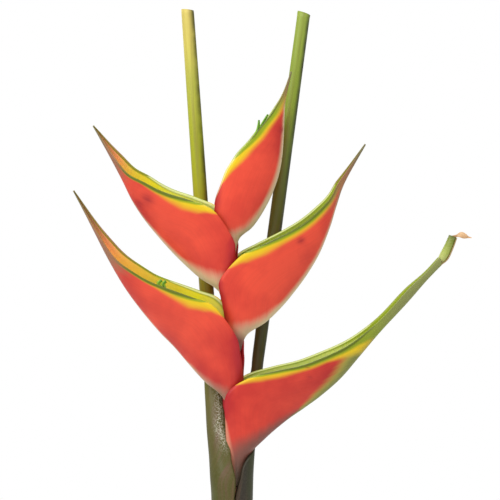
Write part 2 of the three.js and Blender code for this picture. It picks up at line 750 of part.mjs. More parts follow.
/** Adds one named piece with a material of its own. */
function addPiece(name, geometry, look) {
  const mesh = new THREE.Mesh(geometry, new THREE.MeshStandardMaterial(look));
  mesh.name = name;
  plant.add(mesh);
}

// ---------------------------------------------------------------- assembly

const stalkRoom = flowerStalk(CLEARANCE);
const bractNames = Object.keys(BRACTS);
const filledBracts = bractNames.map((name) => bractFilled(BRACTS[name]));

/** A leaf stalk, cut to leave room for the flower stalk and the bracts. */
function leafStalk(rows, cutSlope) {
  const whole = channelled(rows, STALK_SECTIONS, STALK_FACETS, cutSlope);
  return cutAway(whole, [stalkRoom, ...filledBracts]);
}

addPiece("pot", clayPot(), clay);
addPiece("potting_mix", pottingMix(), mix);
addPiece("rhizome", rhizome(), root);
addPiece("inner_scale_leaf", scaleLeaf(INNER_SCALE_RADIUS, INNER_SCALE_HEIGHT, 200), dryScale);
addPiece("outer_scale_leaf", scaleLeaf(OUTER_SCALE_RADIUS, OUTER_SCALE_HEIGHT, 20), dryScale);
addPiece("left_leaf_stalk", leafStalk(LEFT_LEAF_ROWS, LEFT_CUT_SLOPE), leftStalkSkin);
addPiece("right_leaf_stalk", leafStalk(RIGHT_LEAF_ROWS, RIGHT_CUT_SLOPE), rightStalkSkin);
addPiece("flower_stalk", flowerStalk(), flowerStalkSkin);

bractNames.forEach((name, i) => {
  const above = filledBracts[i + 1];
  const extras = name === "bract_lower_right" ? rolledBlade() : [];
  const wall = joined([bractWall(BRACTS[name]), ...extras]);
  addPiece(name, cutAway(wall, above ? [stalkRoom, above] : [stalkRoom]), bractSkin);
});

for (const [name, spec] of Object.entries(FLOWERS)) {
  addPiece(name, flower(spec), flowerSkin);
}

export default plant;
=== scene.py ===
"""A potted heliconia: one flowering shoot standing in a plain clay pot.

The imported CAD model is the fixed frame. Every class below builds one kind of piece in
millimetres, in the row's own axes, and hands it over in metres: +Z is up, the flowering head
lies close to the XZ plane and shows its best side towards -Y.
"""

import logging
import math
from dataclasses import dataclass, field
from enum import Enum

import bpy
import numpy as np
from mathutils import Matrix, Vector, noise


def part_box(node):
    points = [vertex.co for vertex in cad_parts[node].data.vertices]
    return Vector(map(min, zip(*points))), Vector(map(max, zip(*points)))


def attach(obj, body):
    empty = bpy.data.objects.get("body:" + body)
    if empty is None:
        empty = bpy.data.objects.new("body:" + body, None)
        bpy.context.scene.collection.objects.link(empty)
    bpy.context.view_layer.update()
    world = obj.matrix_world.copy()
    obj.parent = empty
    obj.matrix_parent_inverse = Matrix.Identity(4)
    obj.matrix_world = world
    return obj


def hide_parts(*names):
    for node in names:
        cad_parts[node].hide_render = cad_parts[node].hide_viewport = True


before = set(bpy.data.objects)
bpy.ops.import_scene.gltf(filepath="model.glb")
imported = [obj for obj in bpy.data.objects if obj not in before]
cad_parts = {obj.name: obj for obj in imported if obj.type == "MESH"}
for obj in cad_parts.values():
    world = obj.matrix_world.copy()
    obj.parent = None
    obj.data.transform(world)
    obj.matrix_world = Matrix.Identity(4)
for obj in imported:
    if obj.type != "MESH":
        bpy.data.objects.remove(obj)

LOG = logging.getLogger("heliconia")
BODY = "root"
MM = 0.001
CROWN = -211.0  # top of the rhizome's crown, in millimetres above the collar


class Side(Enum):
    """The side of the stem that a bract points to."""

    LEFT = -1
    RIGHT = 1


# ------------------------------------------------------------------ numbers and curves


def linear(code: str) -> tuple[float, float, float, float]:
    """Turns an sRGB hex colour to linear.

    Args:
        code: six hex digits after a hash.

    Returns:
        Linear red, green, blue and an alpha of one.
    """
    channels = [int(code[i:i + 2], 16) / 255 for i in (1, 3, 5)]
    lit = [c / 12.92 if c <= 0.04045 else ((c + 0.055) / 1.055) ** 2.4 for c in channels]
    return lit[0], lit[1], lit[2], 1.0


def along_rows(rows: np.ndarray, places: np.ndarray) -> np.ndarray:
    """Reads a smooth curve through rows of numbers.

    Args:
        rows: the rows that the curve passes through, evenly spaced.
        places: where to read it, 0 at the first row and 1 at the last.

    Returns:
        One row for each place.
    """
    rows = np.asarray(rows, float)
    span = len(rows) - 1
    at = np.clip(places, 0, 1) * span
    i = np.minimum(np.floor(at).astype(int), span - 1)
    s = (at - i)[:, None]
    before, here = rows[np.maximum(i - 1, 0)], rows[i]
    there, after = rows[i + 1], rows[np.minimum(i + 2, span)]
    slope_here, slope_there = (there - before) / 2, (after - here) / 2
    return ((2 * s**3 - 3 * s**2 + 1) * here + (s**3 - 2 * s**2 + s) * slope_here
            + (3 * s**2 - 2 * s**3) * there + (s**3 - s**2) * slope_there)


def profile(stops: list[tuple[float, float]], places: np.ndarray) -> np.ndarray:
    """Reads straight-line values between (place, value) stops.

    Args:
        stops: places in rising order, each with its value.
        places: where to read.

    Returns:
        The value at each place.
    """
    at, values = zip(*stops)
    return np.interp(places, at, values)


def ease(low: float, high: float, values: np.ndarray) -> np.ndarray:
    """Rises smoothly from 0 at low to 1 at high.

    Args:
        low: where it starts to rise.
        high: where it is done.
        values: where to read.

    Returns:
        The eased share for each value.
    """
    share = np.clip((values - low) / (high - low), 0, 1)
    return share * share * (3 - 2 * share)


# ------------------------------------------------------------------ meshes


def stand(name: str, data: bpy.types.ID) -> bpy.types.Object:
    """Puts a new object in the scene, at the origin.

    Args:
        name: its name.
        data: its mesh, light or camera.

    Returns:
        The object.
    """
    thing = bpy.data.objects.new(name, data)
    bpy.context.scene.collection.objects.link(thing)
    return thing


def plain_mesh(thing: bpy.types.Object) -> bpy.types.Mesh:
    """Turns an object and what its modifiers make of it into a plain mesh."""
    return bpy.data.meshes.new_from_object(
        thing.evaluated_get(bpy.context.evaluated_depsgraph_get()))


def make_piece(name: str, grid: np.ndarray, fields: dict[str, np.ndarray] | None = None,
               skin: np.ndarray | None = None) -> bpy.types.Object:
    """Makes a closed, smooth mesh from rings of points, with a flat face at each end.

    Args:
        name: the piece's name.
        grid: rows of closed rings, in millimetres, as (rows, ring, 3).
        fields: named numbers for each point, as (rows, ring).
        skin: place on the skin for each point in millimetres, as (rows, ring, 2).

    Returns:
        The new object, standing at the origin.
    """
    rows, ring = grid.shape[:2]
    index = np.arange(rows * ring).reshape(rows, ring)
    ahead = np.roll(index, -1, axis=1)
    sides = np.stack([index[:-1], ahead[:-1], ahead[1:], index[1:]], axis=-1).reshape(-1, 4)
    # the rings' signed volume tells which way round they turn
    a, b, c, d = (grid.reshape(-1, 3)[sides[:, k]] for k in range(4))
    inside_out = (np.einsum("ij,ij->i", a, np.cross(b, c)).sum()
                  + np.einsum("ij,ij->i", a, np.cross(c, d)).sum()) < 0
    faces = [list(face) for face in sides.tolist()]
    faces += [index[0][::-1].tolist(), index[-1].tolist()]
    if inside_out:
        faces = [face[::-1] for face in faces]
    mesh = bpy.data.meshes.new(name)
    mesh.from_pydata((grid.reshape(-1, 3) * MM).tolist(), [], faces)
    mesh.polygons.foreach_set("use_smooth", [True] * (len(faces) - 2) + [False] * 2)
    for key, values in (fields or {}).items():
        attribute = mesh.attributes.new(key, "FLOAT", "POINT")
        attribute.data.foreach_set("value", values.astype(np.float32).ravel())
    if skin is not None:
        corners = np.empty(len(mesh.loops), dtype=np.int32)
        mesh.loops.foreach_get("vertex_index", corners)
        layer = mesh.uv_layers.new(name="skin")
        layer.uv.foreach_set("vector", skin.reshape(-1, 2)[corners].astype(np.float32).ravel())
    mesh.update()
    return stand(name, mesh)


def rod_grid(rows: list[tuple[float, float, float, float]], steps: int, ring: int,
             flatten: float = 1.0) -> np.ndarray:
    """Sweeps a tapering round section along a smooth way.

    Args:
        rows: [x, y, z, radius] of the points it passes through, in millimetres.
        steps: sections along the way.
        ring: points round each section.
        flatten: thickness as a share of the width.

    Returns:
        The rings of points.
    """
    way = along_rows(np.array(rows), np.linspace(0, 1, steps))
    centres, radii = way[:, :3], way[:, 3]
    along = np.gradient(centres, axis=0)
    along /= np.linalg.norm(along, axis=1, keepdims=True)
    reference = np.tile([0.0, 1.0, 0.0], (steps, 1))
    reference[np.abs(along[:, 1]) > 0.9] = [1.0, 0.0, 0.0]
    across = reference - along * np.einsum("ij,ij->i", reference, along)[:, None]
    across /= np.linalg.norm(across, axis=1, keepdims=True)
    up = np.cross(across, along)
    turn = np.linspace(0, 2 * math.pi, ring, endpoint=False)
    return (centres[:, None]
            + across[:, None] * (radii[:, None] * np.cos(turn))[..., None]
            + up[:, None] * (flatten * radii[:, None] * np.sin(turn))[..., None])


def folded_ring(outer: np.ndarray, inner: np.ndarray, swell: float = 0.35) -> np.ndarray:
    """Closes an outer and an inner line to one ring, with a rounded edge at both ends.

    Args:
        outer: (rows, points, 3) of the outer line.
        inner: the same for the inner line.
        swell: how far an edge stands out, as a share of the wall.

    Returns:
        The ring: outer, far edge, inner backwards, near edge.
    """
    def edge(k: int, beside: int) -> np.ndarray:
        """Finds the crest of one edge.

        Args:
            k: the edge's place in the lines.
            beside: the place next to it.

        Returns:
            One point for each row.
        """
        middle = 0.5 * (outer[:, k] + inner[:, k])
        away = middle - 0.5 * (outer[:, beside] + inner[:, beside])
        away /= np.maximum(np.linalg.norm(away, axis=1, keepdims=True), 1e-9)
        wall = np.linalg.norm(outer[:, k] - inner[:, k], axis=1, keepdims=True)
        return (middle + swell * wall * away)[:, None]

    return np.concatenate([outer, edge(-1, -2), inner[:, ::-1], edge(0, 1)], axis=1)


def finish_piece(piece: bpy.types.Object, node: str,
                 material: bpy.types.Material) -> bpy.types.Object:
    """Dresses a piece and ties it to the frame.

    Args:
        piece: the finished mesh object.
        node: the CAD node it stands for.
        material: its material.

    Returns:
        The piece.
    """
    if not piece.data.materials:
        piece.data.materials.append(material)
    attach(piece, BODY)
    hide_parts(node)
    LOG.info("%s: %d points for %s", piece.name, len(piece.data.vertices), node)
    return piece


# ------------------------------------------------------------------ materials


def add_node(tree: bpy.types.NodeTree, kind: str, links: dict | None = None,
             values: dict | None = None, stops: list | None = None,
             **settings: object) -> bpy.types.Node:
    """Adds one node with its settings, values and links.

    Args:
        tree: the tree it goes in.
        kind: the node's type name.
        links: output socket for each linked input, by the input's name or number.
        values: plain value for each set input, by the input's name or number.
        stops: (place, linear colour) of a ramp.
        settings: the node's own properties.

    Returns:
        The new node.
    """
    node = tree.nodes.new(kind)
    for key, value in settings.items():
        setattr(node, key, value)
    for key, value in (values or {}).items():
        node.inputs[key].default_value = value
    for key, socket in (links or {}).items():
        tree.links.new(socket, node.inputs[key])
    if stops:
        elements = node.color_ramp.elements
        while len(elements) < len(stops):
            elements.new(0.5)
        for element, (place, colour) in zip(elements, stops):
            element.position = place
            element.color = colour
    return node


def new_material(name: str) -> tuple[bpy.types.Material, bpy.types.NodeTree, bpy.types.Node]:
    """Makes a material with only its surface shader and output.

    Args:
        name: what the real material is called.

    Returns:
        The material, its tree and the surface shader.
    """
    material = bpy.data.materials.new(name)
    material.use_nodes = True
    tree = material.node_tree
    tree.nodes.clear()
    shader = add_node(tree, "ShaderNodeBsdfPrincipled")
    add_node(tree, "ShaderNodeOutputMaterial", {"Surface": shader.outputs[0]})
    return material, tree, shader


def drawn_out(tree: bpy.types.NodeTree, across_mm: float, along_mm: float, detail: float,
              roughness: float = 0.6) -> bpy.types.NodeSocket:
    """Makes a pattern of fibres or streaks that run along a skin.

    Args:
        tree: the tree it goes in.
        across_mm: size of a fibre across the skin.
        along_mm: size of a fibre along it.
        detail: how many finer sizes are in it.
        roughness: how strong the finer sizes are.

    Returns:
        The pattern's strength.
    """
    skin = add_node(tree, "ShaderNodeUVMap", uv_map="skin")
    at = add_node(tree, "ShaderNodeMapping", {"Vector": skin.outputs[0]},
                  {"Scale": (1 / across_mm, 1 / along_mm, 1.0)})
    return add_node(tree, "ShaderNodeTexNoise", {"Vector": at.outputs[0]},
                    {"Scale": 1.0, "Detail": detail, "Roughness": roughness}).outputs["Fac"]


def lay_coats(tree: bpy.types.NodeTree, colour: bpy.types.NodeSocket,
              coats: list[tuple[str | bpy.types.NodeSocket, bpy.types.NodeSocket]],
              ) -> bpy.types.NodeSocket:
    """Lays coats of colour one over another.

    Args:
        tree: the tree they go in.
        colour: the colour underneath.
        coats: each coat's colour, as a hex code or a socket, and how well it covers.

    Returns:
        The colour on top.
    """
    for coat, cover in coats:
        links, values = {0: cover, 6: colour}, {}
        if isinstance(coat, str):
            values[7] = linear(coat)
        else:
            links[7] = coat
        colour = add_node(tree, "ShaderNodeMix", links, values, data_type="RGBA").outputs[2]
    return colour


# Bands painted on a bract: where each is measured from, its soft edge in millimetres, and
# how much softer it gets for each millimetre of its width.
EDGES = {
    "crimson": ("rim", 1.6, 0.5), "foot": ("keel", 1.8, 0.55), "blush": ("rim", 0.8, 0.3),
    "keel": ("keel", 0.8, 0.4), "under": ("keel", 1.2, 0.3), "olive": ("keel", 1.0, 0.4),
    # near rim's dark line: the margin's dark green, deepened as painted shading; far rim's pale
    # lip: its pale colour with a painted highlight
    "yellow": ("rim", 0.9, 0.42), "green": ("rim", 0.4, 0.28), "line": ("near rim", 0.35, 0.25),
    "inner_line": ("far rim", 0.3, 0.2), "lip": ("far rim", 0.2, 0.35),
    "inner_green": ("rim", 0.3, 0.5),
}


@dataclass(frozen=True)
class BractSkin:
    """Waxy living skin of a bract: satin, faintly ribbed, painted in soft-edged bands.

    The wax gives broad soft lights, thin walls glow a little, and the veins draw faint lines. The
    inside is painted lighter than its own colours, painted light for what shines through the thin
    walls.
    """

    name: str = "waxy_bract_skin"
    vein_mm: float = 0.9
    streak_mm: float = 4.0
    fleck_mm: float = 1.6
    cloud_mm: float = 16.0
    red: str = "#e84b32"
    red_deep: str = "#bc2420"
    # crimson near the rim at the foot: partly the bract's own colour, partly painted shading where
    # the next bract's foot lies over it
    crimson: str = "#b41c24"
    foot: tuple[tuple[float, str], ...] = ((0.0, "#e6c9a2"), (0.5, "#8a5044"), (1.0, "#565040"))
    blush: str = "#dd8c70"
    keel: str = "#dcc59c"
    under: str = "#bdb044"
    olive: str = "#81863a"
    yellow: str = "#e8c60c"
    green: str = "#8ea008"
    # the near rim's dark line, partly the margin's dark green and partly painted shading in the
    # gap at that rim
    line: str = "#5e6c00"
    tail: str = "#8b9150"
    tip: str = "#a06c4c"
    point: str = "#7d7450"
    # the far rim's pale lip, partly its own pale colour and partly a painted highlight where the
    # rim catches the light
    lip: str = "#e6eaa8"
    bruise: str = "#9c1020"
    # the inside's own yellow-green to orange, painted lighter as painted light for the light that
    # shines through the thin walls
    hollow_lightened: tuple[tuple[float, str], ...] = (
        (0.0, "#aebc40"), (0.2, "#e6ec96"), (0.4, "#fff238"), (0.6, "#ffde5e"),
        (0.8, "#ffbc80"), (1.0, "#c49c76"),
    )
    hollow_green: str = "#9aaa1c"
    hollow_line: str = "#8a8420"

    def build(self) -> bpy.types.Material:
        """Builds the material.

        Returns:
            The finished material.
        """
        material, tree, shader = new_material(self.name)
        place = add_node(tree, "ShaderNodeTexCoord").outputs["Object"]
        veins = drawn_out(tree, self.vein_mm, 30.0, 3.0)
        streaks = drawn_out(tree, self.streak_mm, 60.0, 4.0)
        clouds, flecks = (add_node(tree, "ShaderNodeTexNoise", {"Vector": place},
                                   {"Scale": 1 / (size * MM), "Detail": detail}).outputs["Fac"]
                          for size, detail in ((self.cloud_mm, 3.0), (self.fleck_mm, 2.0)))
        uneven = add_node(tree, "ShaderNodeMath", {0: streaks}, {1: 0.5},
                          operation="SUBTRACT").outputs[0]
        marks = {name: add_node(tree, "ShaderNodeAttribute", attribute_name=name).outputs["Fac"]
                 for name in (*EDGES, "deep", "foot_tone", "tail", "tip", "point", "inner",
                              "warm", "stain", "glow")}

        def covers(name: str, waver: float) -> bpy.types.NodeSocket:
            """Works out how well a band covers each place.

            Args:
                name: the band's field.
                waver: how far its edge strays with the streaks.

            Returns:
                The share covered.
            """
            edge = add_node(tree, "ShaderNodeMath", {0: uneven, 2: marks[name]},
                            {1: waver}, operation="MULTIPLY_ADD")
            return add_node(tree, "ShaderNodeMapRange", {"Value": edge.outputs[0]},
                            {"From Min": 1.0, "From Max": -1.0},
                            interpolation_type="SMOOTHSTEP").outputs[0]

        cloudy = add_node(tree, "ShaderNodeMapRange", {"Value": clouds},
                          {"From Min": 0.35, "From Max": 0.65, "To Min": -0.2, "To Max": 0.2})
        # deeper red: partly the skin's own uneven tone, partly painted shading; negative spots
        # paint lighter patches as painted highlights
        depth = add_node(tree, "ShaderNodeMath", {0: marks["deep"], 1: cloudy.outputs[0]},
                         operation="ADD", use_clamp=True)
        reds = add_node(tree, "ShaderNodeRGB")
        reds.outputs[0].default_value = linear(self.red)
        # the foot's tones, and the inside's colours painted lighter as painted light
        foot, hollow_lightened = (
            add_node(tree, "ShaderNodeValToRGB", {"Fac": marks[name]},
                     stops=[(at, linear(code)) for at, code in stops]).outputs[0]
            for name, stops in (("foot_tone", self.foot), ("warm", self.hollow_lightened)))
        bands = ((self.crimson, "crimson", 0.8), (foot, "foot", 0.9), (self.blush, "blush", 0.6),
                 (self.keel, "keel", 0.8), (self.under, "under", 0.9), (self.olive, "olive", 0.9),
                 (self.yellow, "yellow", 0.8), (self.green, "green", 0.6),
                 (self.line, "line", 0.5), (self.tail, "tail", 0.8), (self.tip, "tip", 2.4),
                 (self.point, "point", 1.2))
        outside = lay_coats(tree, reds.outputs[0], [(self.red_deep, depth.outputs[0])] + [
            (colour, covers(name, waver)) for colour, name, waver in bands])
        inside = lay_coats(tree, hollow_lightened, [
            (self.hollow_green, covers("inner_green", 0.3)), (self.lip, covers("lip", 0.3)),
            (self.hollow_line, covers("inner_line", 0.3))])
        rough = add_node(tree, "ShaderNodeMath", {0: marks["stain"], 1: streaks},
                         operation="MULTIPLY")
        stained = add_node(tree, "ShaderNodeMapRange", {"Value": rough.outputs[0]},
                           {"From Min": 0.02, "From Max": 0.6, "To Max": 0.75})
        running = lay_coats(tree, outside, [(inside, marks["inner"]),
                                            (self.bruise, stained.outputs[0])])
        fine = add_node(tree, "ShaderNodeMapRange", {"Value": veins},
                        {"From Min": 0.3, "From Max": 0.7, "To Min": 0.96, "To Max": 1.03})
        tone = add_node(tree, "ShaderNodeHueSaturation",
                        {"Color": running, "Value": fine.outputs[0]})
        tree.links.new(tone.outputs[0], shader.inputs["Base Color"])
        gloss = add_node(tree, "ShaderNodeMapRange", {"Value": flecks},
                         {"From Min": 0.3, "From Max": 0.7, "To Min": 0.4, "To Max": 0.54})
        tree.links.new(gloss.outputs[0], shader.inputs["Roughness"])
        bump = add_node(tree, "ShaderNodeBump", {"Height": veins},
                        {"Strength": 0.3, "Distance": 0.1 * MM})
        tree.links.new(bump.outputs[0], shader.inputs["Normal"])
        shader.inputs["Specular IOR Level"].default_value = 0.4
        thin = add_node(tree, "ShaderNodeMapRange", {"Value": marks["glow"]},
                        {"To Min": 0.06, "To Max": 0.75})
        tree.links.new(thin.outputs[0], shader.inputs["Subsurface Weight"])
        shader.inputs["Subsurface Radius"].default_value = (1.0, 0.95, 0.7)
        shader.inputs["Subsurface Scale"].default_value = 1.6 * MM
        return material


@dataclass(frozen=True)
class StalkSkin:
    """Smooth waxy skin of a leaf stalk, with fine lengthwise fibres and pale scurf.

    Fibres draw long faint lines, and the scurf dulls the lower sheath in patches. The shade coat
    is painted shading on the leaf stalks and in the flowers' grooves, and the rolled blade's tan
    margin.
    """

    name: str
    ramp: tuple[tuple[float, str], ...]
    low_mm: float
    high_mm: float
    streak: str = "#674a34"
    wax: str = "#c4c0ac"
    # painted shading on stalks and flowers, the tan margin on the rolled blade
    shade: str = "#4a5518"
    fibre_mm: float = 0.7
    streak_mm: float = 4.545
    grain_mm: float = 0.9
    patch_mm: float = 11.0
    stray_mm: float = 30.0

    def build(self) -> bpy.types.Material:
        """Builds the material.

        Returns:
            The finished material.
        """
        material, tree, shader = new_material(self.name)
        place = add_node(tree, "ShaderNodeTexCoord")
        fibres = drawn_out(tree, self.fibre_mm, 50.0, 4.0, 0.65)
        streaks = drawn_out(tree, self.streak_mm, 83.3, 5.0)
        grains = add_node(tree, "ShaderNodeTexNoise", {"Vector": place.outputs["Object"]},
                          {"Scale": 1 / (self.grain_mm * MM), "Detail": 3.0,
                           "Roughness": 0.7}).outputs["Fac"]
        patches = add_node(tree, "ShaderNodeTexNoise", {"Vector": place.outputs["Object"]},
                           {"Scale": 1 / (self.patch_mm * MM), "Detail": 4.0}).outputs["Fac"]
        height = add_node(tree, "ShaderNodeAttribute", attribute_name="height_mm")
        uneven = add_node(tree, "ShaderNodeMath", {0: streaks, 2: height.outputs["Fac"]},
                          {1: self.stray_mm}, operation="MULTIPLY_ADD")
        level = add_node(tree, "ShaderNodeMapRange", {"Value": uneven.outputs[0]},
                         {"From Min": self.low_mm, "From Max": self.high_mm})
        base = add_node(tree, "ShaderNodeValToRGB", {"Fac": level.outputs[0]},
                        stops=[(at, linear(code)) for at, code in self.ramp])
        coats = []
        for colour, mask, texture, low, high in (
                (self.streak, "streak", streaks, 0.42, 0.62),
                (self.shade, "shade", patches, 0.0, 0.6), (self.wax, "wax", grains, 0.45, 0.62)):
            amount = add_node(tree, "ShaderNodeAttribute", attribute_name=mask)
            broken = add_node(tree, "ShaderNodeMapRange", {"Value": texture},
                              {"From Min": low, "From Max": high})
            cover = add_node(tree, "ShaderNodeMath",
                             {0: amount.outputs["Fac"], 1: broken.outputs[0]},
                             operation="MULTIPLY")
            coats.append((colour, cover.outputs[0]))
        running = lay_coats(tree, base.outputs[0], coats)
        fine = add_node(tree, "ShaderNodeMapRange", {"Value": fibres},
                        {"From Min": 0.3, "From Max": 0.7, "To Min": 0.86, "To Max": 1.1})
        tone = add_node(tree, "ShaderNodeHueSaturation",
                        {"Color": running, "Value": fine.outputs[0]})
        tree.links.new(tone.outputs[0], shader.inputs["Base Color"])
        gloss = add_node(tree, "ShaderNodeMapRange", {"Value": patches},
                         {"From Min": 0.3, "From Max": 0.7, "To Min": 0.36, "To Max": 0.55})
        tree.links.new(gloss.outputs[0], shader.inputs["Roughness"])
        bump = add_node(tree, "ShaderNodeBump", {"Height": fibres},
                        {"Strength": 0.5, "Distance": 0.1 * MM})
        tree.links.new(bump.outputs[0], shader.inputs["Normal"])
        shader.inputs["Specular IOR Level"].default_value = 0.4
        return material


@dataclass(frozen=True)
class EarthSkin:
    """A rough, mottled, matt surface: fired clay, bark, grit, cork or dry leaf.

    Low specular and a deep grain keep it dull; the blotches give it age.
    """

    name: str
    dark: str
    middle: str
    pale: str
    blotch_mm: float
    grain_mm: float
    grain_depth_mm: float = 0.15
    roughness: float = 0.9
    stretch: tuple[float, float, float] = (1.0, 1.0, 1.0)
    bloom: str | None = None
    bloom_mm: float = 38.0

    def build(self) -> bpy.types.Material:
        """Builds the material.

        Returns:
            The finished material.
        """
        material, tree, shader = new_material(self.name)
        place = add_node(tree, "ShaderNodeTexCoord")
        at = add_node(tree, "ShaderNodeMapping", {"Vector": place.outputs["Object"]},
                      {"Scale": self.stretch})
        blotches, grain = (
            add_node(tree, "ShaderNodeTexNoise", {"Vector": at.outputs[0]},
                     {"Scale": 1 / (size * MM), "Detail": detail,
                      "Roughness": roughness}).outputs["Fac"]
            for size, detail, roughness in ((self.blotch_mm, 5.0, 0.6),
                                            (self.grain_mm, 3.0, 0.7)))
        both = add_node(tree, "ShaderNodeMath", {0: blotches, 1: grain}, operation="ADD")
        half = add_node(tree, "ShaderNodeMath", {0: both.outputs[0]}, {1: 0.5},
                        operation="MULTIPLY")
        base = add_node(tree, "ShaderNodeValToRGB", {"Fac": half.outputs[0]},
                        stops=[(0.36, linear(self.dark)), (0.5, linear(self.middle)),
                               (0.66, linear(self.pale))])
        running = base.outputs[0]
        if self.bloom:
            salts = add_node(tree, "ShaderNodeTexNoise", {"Vector": place.outputs["Object"]},
                             {"Scale": 1 / (self.bloom_mm * MM), "Detail": 6.0,
                              "Roughness": 0.65})
            cover = add_node(tree, "ShaderNodeMapRange", {"Value": salts.outputs["Fac"]},
                             {"From Min": 0.54, "From Max": 0.74, "To Max": 0.55})
            running = lay_coats(tree, running, [(self.bloom, cover.outputs[0])])
        tree.links.new(running, shader.inputs["Base Color"])
        dull = add_node(tree, "ShaderNodeMapRange", {"Value": grain},
                        {"To Min": self.roughness - 0.08, "To Max": self.roughness + 0.08})
        tree.links.new(dull.outputs[0], shader.inputs["Roughness"])
        bump = add_node(tree, "ShaderNodeBump", {"Height": half.outputs[0]},
                        {"Strength": 0.8, "Distance": self.grain_depth_mm * MM})
        tree.links.new(bump.outputs[0], shader.inputs["Normal"])
        shader.inputs["Specular IOR Level"].default_value = 0.25
        return material


# ------------------------------------------------------------------ finishes

# Emulsion on board: flat, pale and almost without a pattern, so that it holds soft shadows.
WHITE_PAINT = EarthSkin("matt_white_paint", "#eeeeec", "#f2f2f0", "#f6f6f4", 400.0, 3.0, 0.02)
# Thrown and fired clay with no glaze: chalky and matt, blotched, with pale salts that bloomed.
TERRACOTTA = EarthSkin("fired_terracotta", "#9c4f2f", "#b8643f", "#c97d57", 26.0, 1.1, 0.18,
                       bloom="#d9b8a0")
# Damp peat: nearly black, with no shine and a deep crumb.
PEAT = EarthSkin("peat_bed", "#1c130d", "#2c1f16", "#3d2d21", 6.0, 0.8, 0.5)
CHIP_SKINS = {
    # Composted pine bark: warm brown flakes, paler where they broke.
    "mix_bark": EarthSkin("pine_bark", "#33201a", "#57382a", "#80583e", 5.0, 0.7),
    # Crumbs of peat: dull and dark.
    "mix_crumbs": EarthSkin("peat_crumbs", "#1d140e", "#33241a", "#4d3929", 4.0, 0.5),
    # Blown perlite: off-white, dry and pitted.
    "mix_perlite": EarthSkin("perlite", "#c9c5ba", "#dedad0", "#efece5", 3.0, 0.4),
}
# Corky skin of a rhizome: straw to brown, dull and finely pitted.
CORK = EarthSkin("corky_rhizome", "#8a6a43", "#ad8f62", "#cbb288", 7.0, 0.8, 0.3)
# Dry scale leaf: papery, with a faint sheen and lengthwise fibres.
DRY_LEAF = EarthSkin("dry_scale_leaf", "#5b4329", "#8c6e48", "#b89a6a", 9.0, 0.6, 0.3, 0.75,
                     (3.0, 3.0, 0.25))
# Withered blade: thin, crumpled and pinkish tan.
WITHERED = EarthSkin("dry_flag", "#c08a5c", "#dcae7e", "#ecc9a0", 5.0, 0.6, 0.2, 0.7)
# Living stalk skins: satin under their wax, brown-green in the shade of the stem's foot and
# yellow-green above. The ramp runs from the crown to the cut top. The shade colour is painted
# shading on the side turned away from the key light.
LEFT_SKIN = StalkSkin(
    "left_stalk_wax",
    ((0.0, "#7d6a3c"), (0.25, "#545420"), (0.4, "#4c500c"), (0.44, "#4e4c10"),
     (0.52, "#605a28"), (0.6, "#767208"), (0.68, "#8c8a08"), (0.78, "#a8ac10"),
     (0.84, "#aab022"), (0.9, "#b9ba44"), (0.945, "#d2c358"), (1.0, "#d8c268")),
    CROWN, 330.0, shade="#4c4a14")
RIGHT_SKIN = StalkSkin(
    "right_stalk_wax",
    ((0.0, "#6d5a36"), (0.25, "#3f3624"), (0.42, "#30281e"), (0.47, "#282617"),
     (0.56, "#4a461c"), (0.62, "#46441a"), (0.74, "#5c5a1c"), (0.79, "#626a1e"),
     (0.83, "#6c7c20"), (0.87, "#869a28"), (0.93, "#8c9e34"), (1.0, "#94a640")),
    CROWN, 330.0, shade="#343a12")
# Flower stalk: the same satin skin, cream inside the stem and salmon among the bracts.
FLOWER_STALK_SKIN = StalkSkin(
    "flower_stalk_skin",
    ((0.0, "#b9a46a"), (0.55, "#b87f5c"), (0.7, "#c4604c"), (1.0, "#cf5a44")),
    CROWN, 200.0, shade="#7c3a2c")
# Young rolled blade: pale green, with a brown seam where it dries and a tan margin from its shade
# coat. The ramp runs along it.
BLADE_SKIN = StalkSkin(
    "rolled_blade_skin",
    ((0.0, "#8c8a44"), (0.22, "#bcc172"), (0.55, "#a6b24e"), (0.85, "#7d8c2c"),
     (1.0, "#5c6426")),
    0.0, 115.0, streak="#64451f", wax="#d8d6b0", shade="#b8985e")
# Petals: fresh and satin, cream at the foot and bright green at the tip, with painted shading of
# dark green in the grooves between the ribs.
PETAL_SKIN = StalkSkin(
    "flower_skin",
    ((0.0, "#d8d890"), (0.4, "#a8cc3c"), (0.8, "#86c01c"), (1.0, "#66a010")),
    0.0, 115.0, shade="#2c5a0c")


# ------------------------------------------------------------------ flower stalk


@dataclass
class FlowerStalk:
    """The flower stalk, which climbs inside the stem and zigzags through the bracts' feet."""

    way: tuple[tuple[float, float], ...] = (
        (0.8, -211), (2, -60), (2.5, 0), (2.1, 40), (1.4, 80), (-0.2, 116), (-1.8, 148),
        (-1.9, 158),
    )
    foot_radius: float = 5.2
    collar_radius: float = 4.4
    taper: float = 0.0145

    @property
    def top(self) -> float:
        """Height of its top above the collar."""
        return self.way[-1][1]

    def at(self, height: float) -> tuple[float, float]:
        """Reads the stalk at a height.

        Args:
            height: millimetres above the collar.

        Returns:
            The centre's x and the radius.
        """
        xs, heights = zip(*self.way)
        x = float(np.interp(height, heights, xs))
        if height < 0:
            share = (height - heights[0]) / -heights[0]
            return x, self.foot_radius + share * (self.collar_radius - self.foot_radius)
        return x, self.collar_radius - self.taper * height

    def build(self, collar: float, material: bpy.types.Material) -> None:
        """Builds and dresses the stalk.

        Args:
            collar: the collar's level.
            material: its skin.
        """
        rows = [(x, 0.0, collar + h, self.at(h)[1]) for x, h in self.way]
        grid = rod_grid(rows, 180, 32)
        height = grid[..., 2] - collar
        turn = np.broadcast_to(np.linspace(0, 26, 32), height.shape)
        empty = np.zeros_like(height)
        fields = {"height_mm": height, "streak": empty, "shade": empty, "wax": empty + 0.15}
        piece = make_piece("flower_stalk_skin", grid, fields, np.stack([turn, height], axis=-1))
        finish_piece(piece, "flower_stalk", material)


# ------------------------------------------------------------------ bracts

UNPAINTED = 99.0


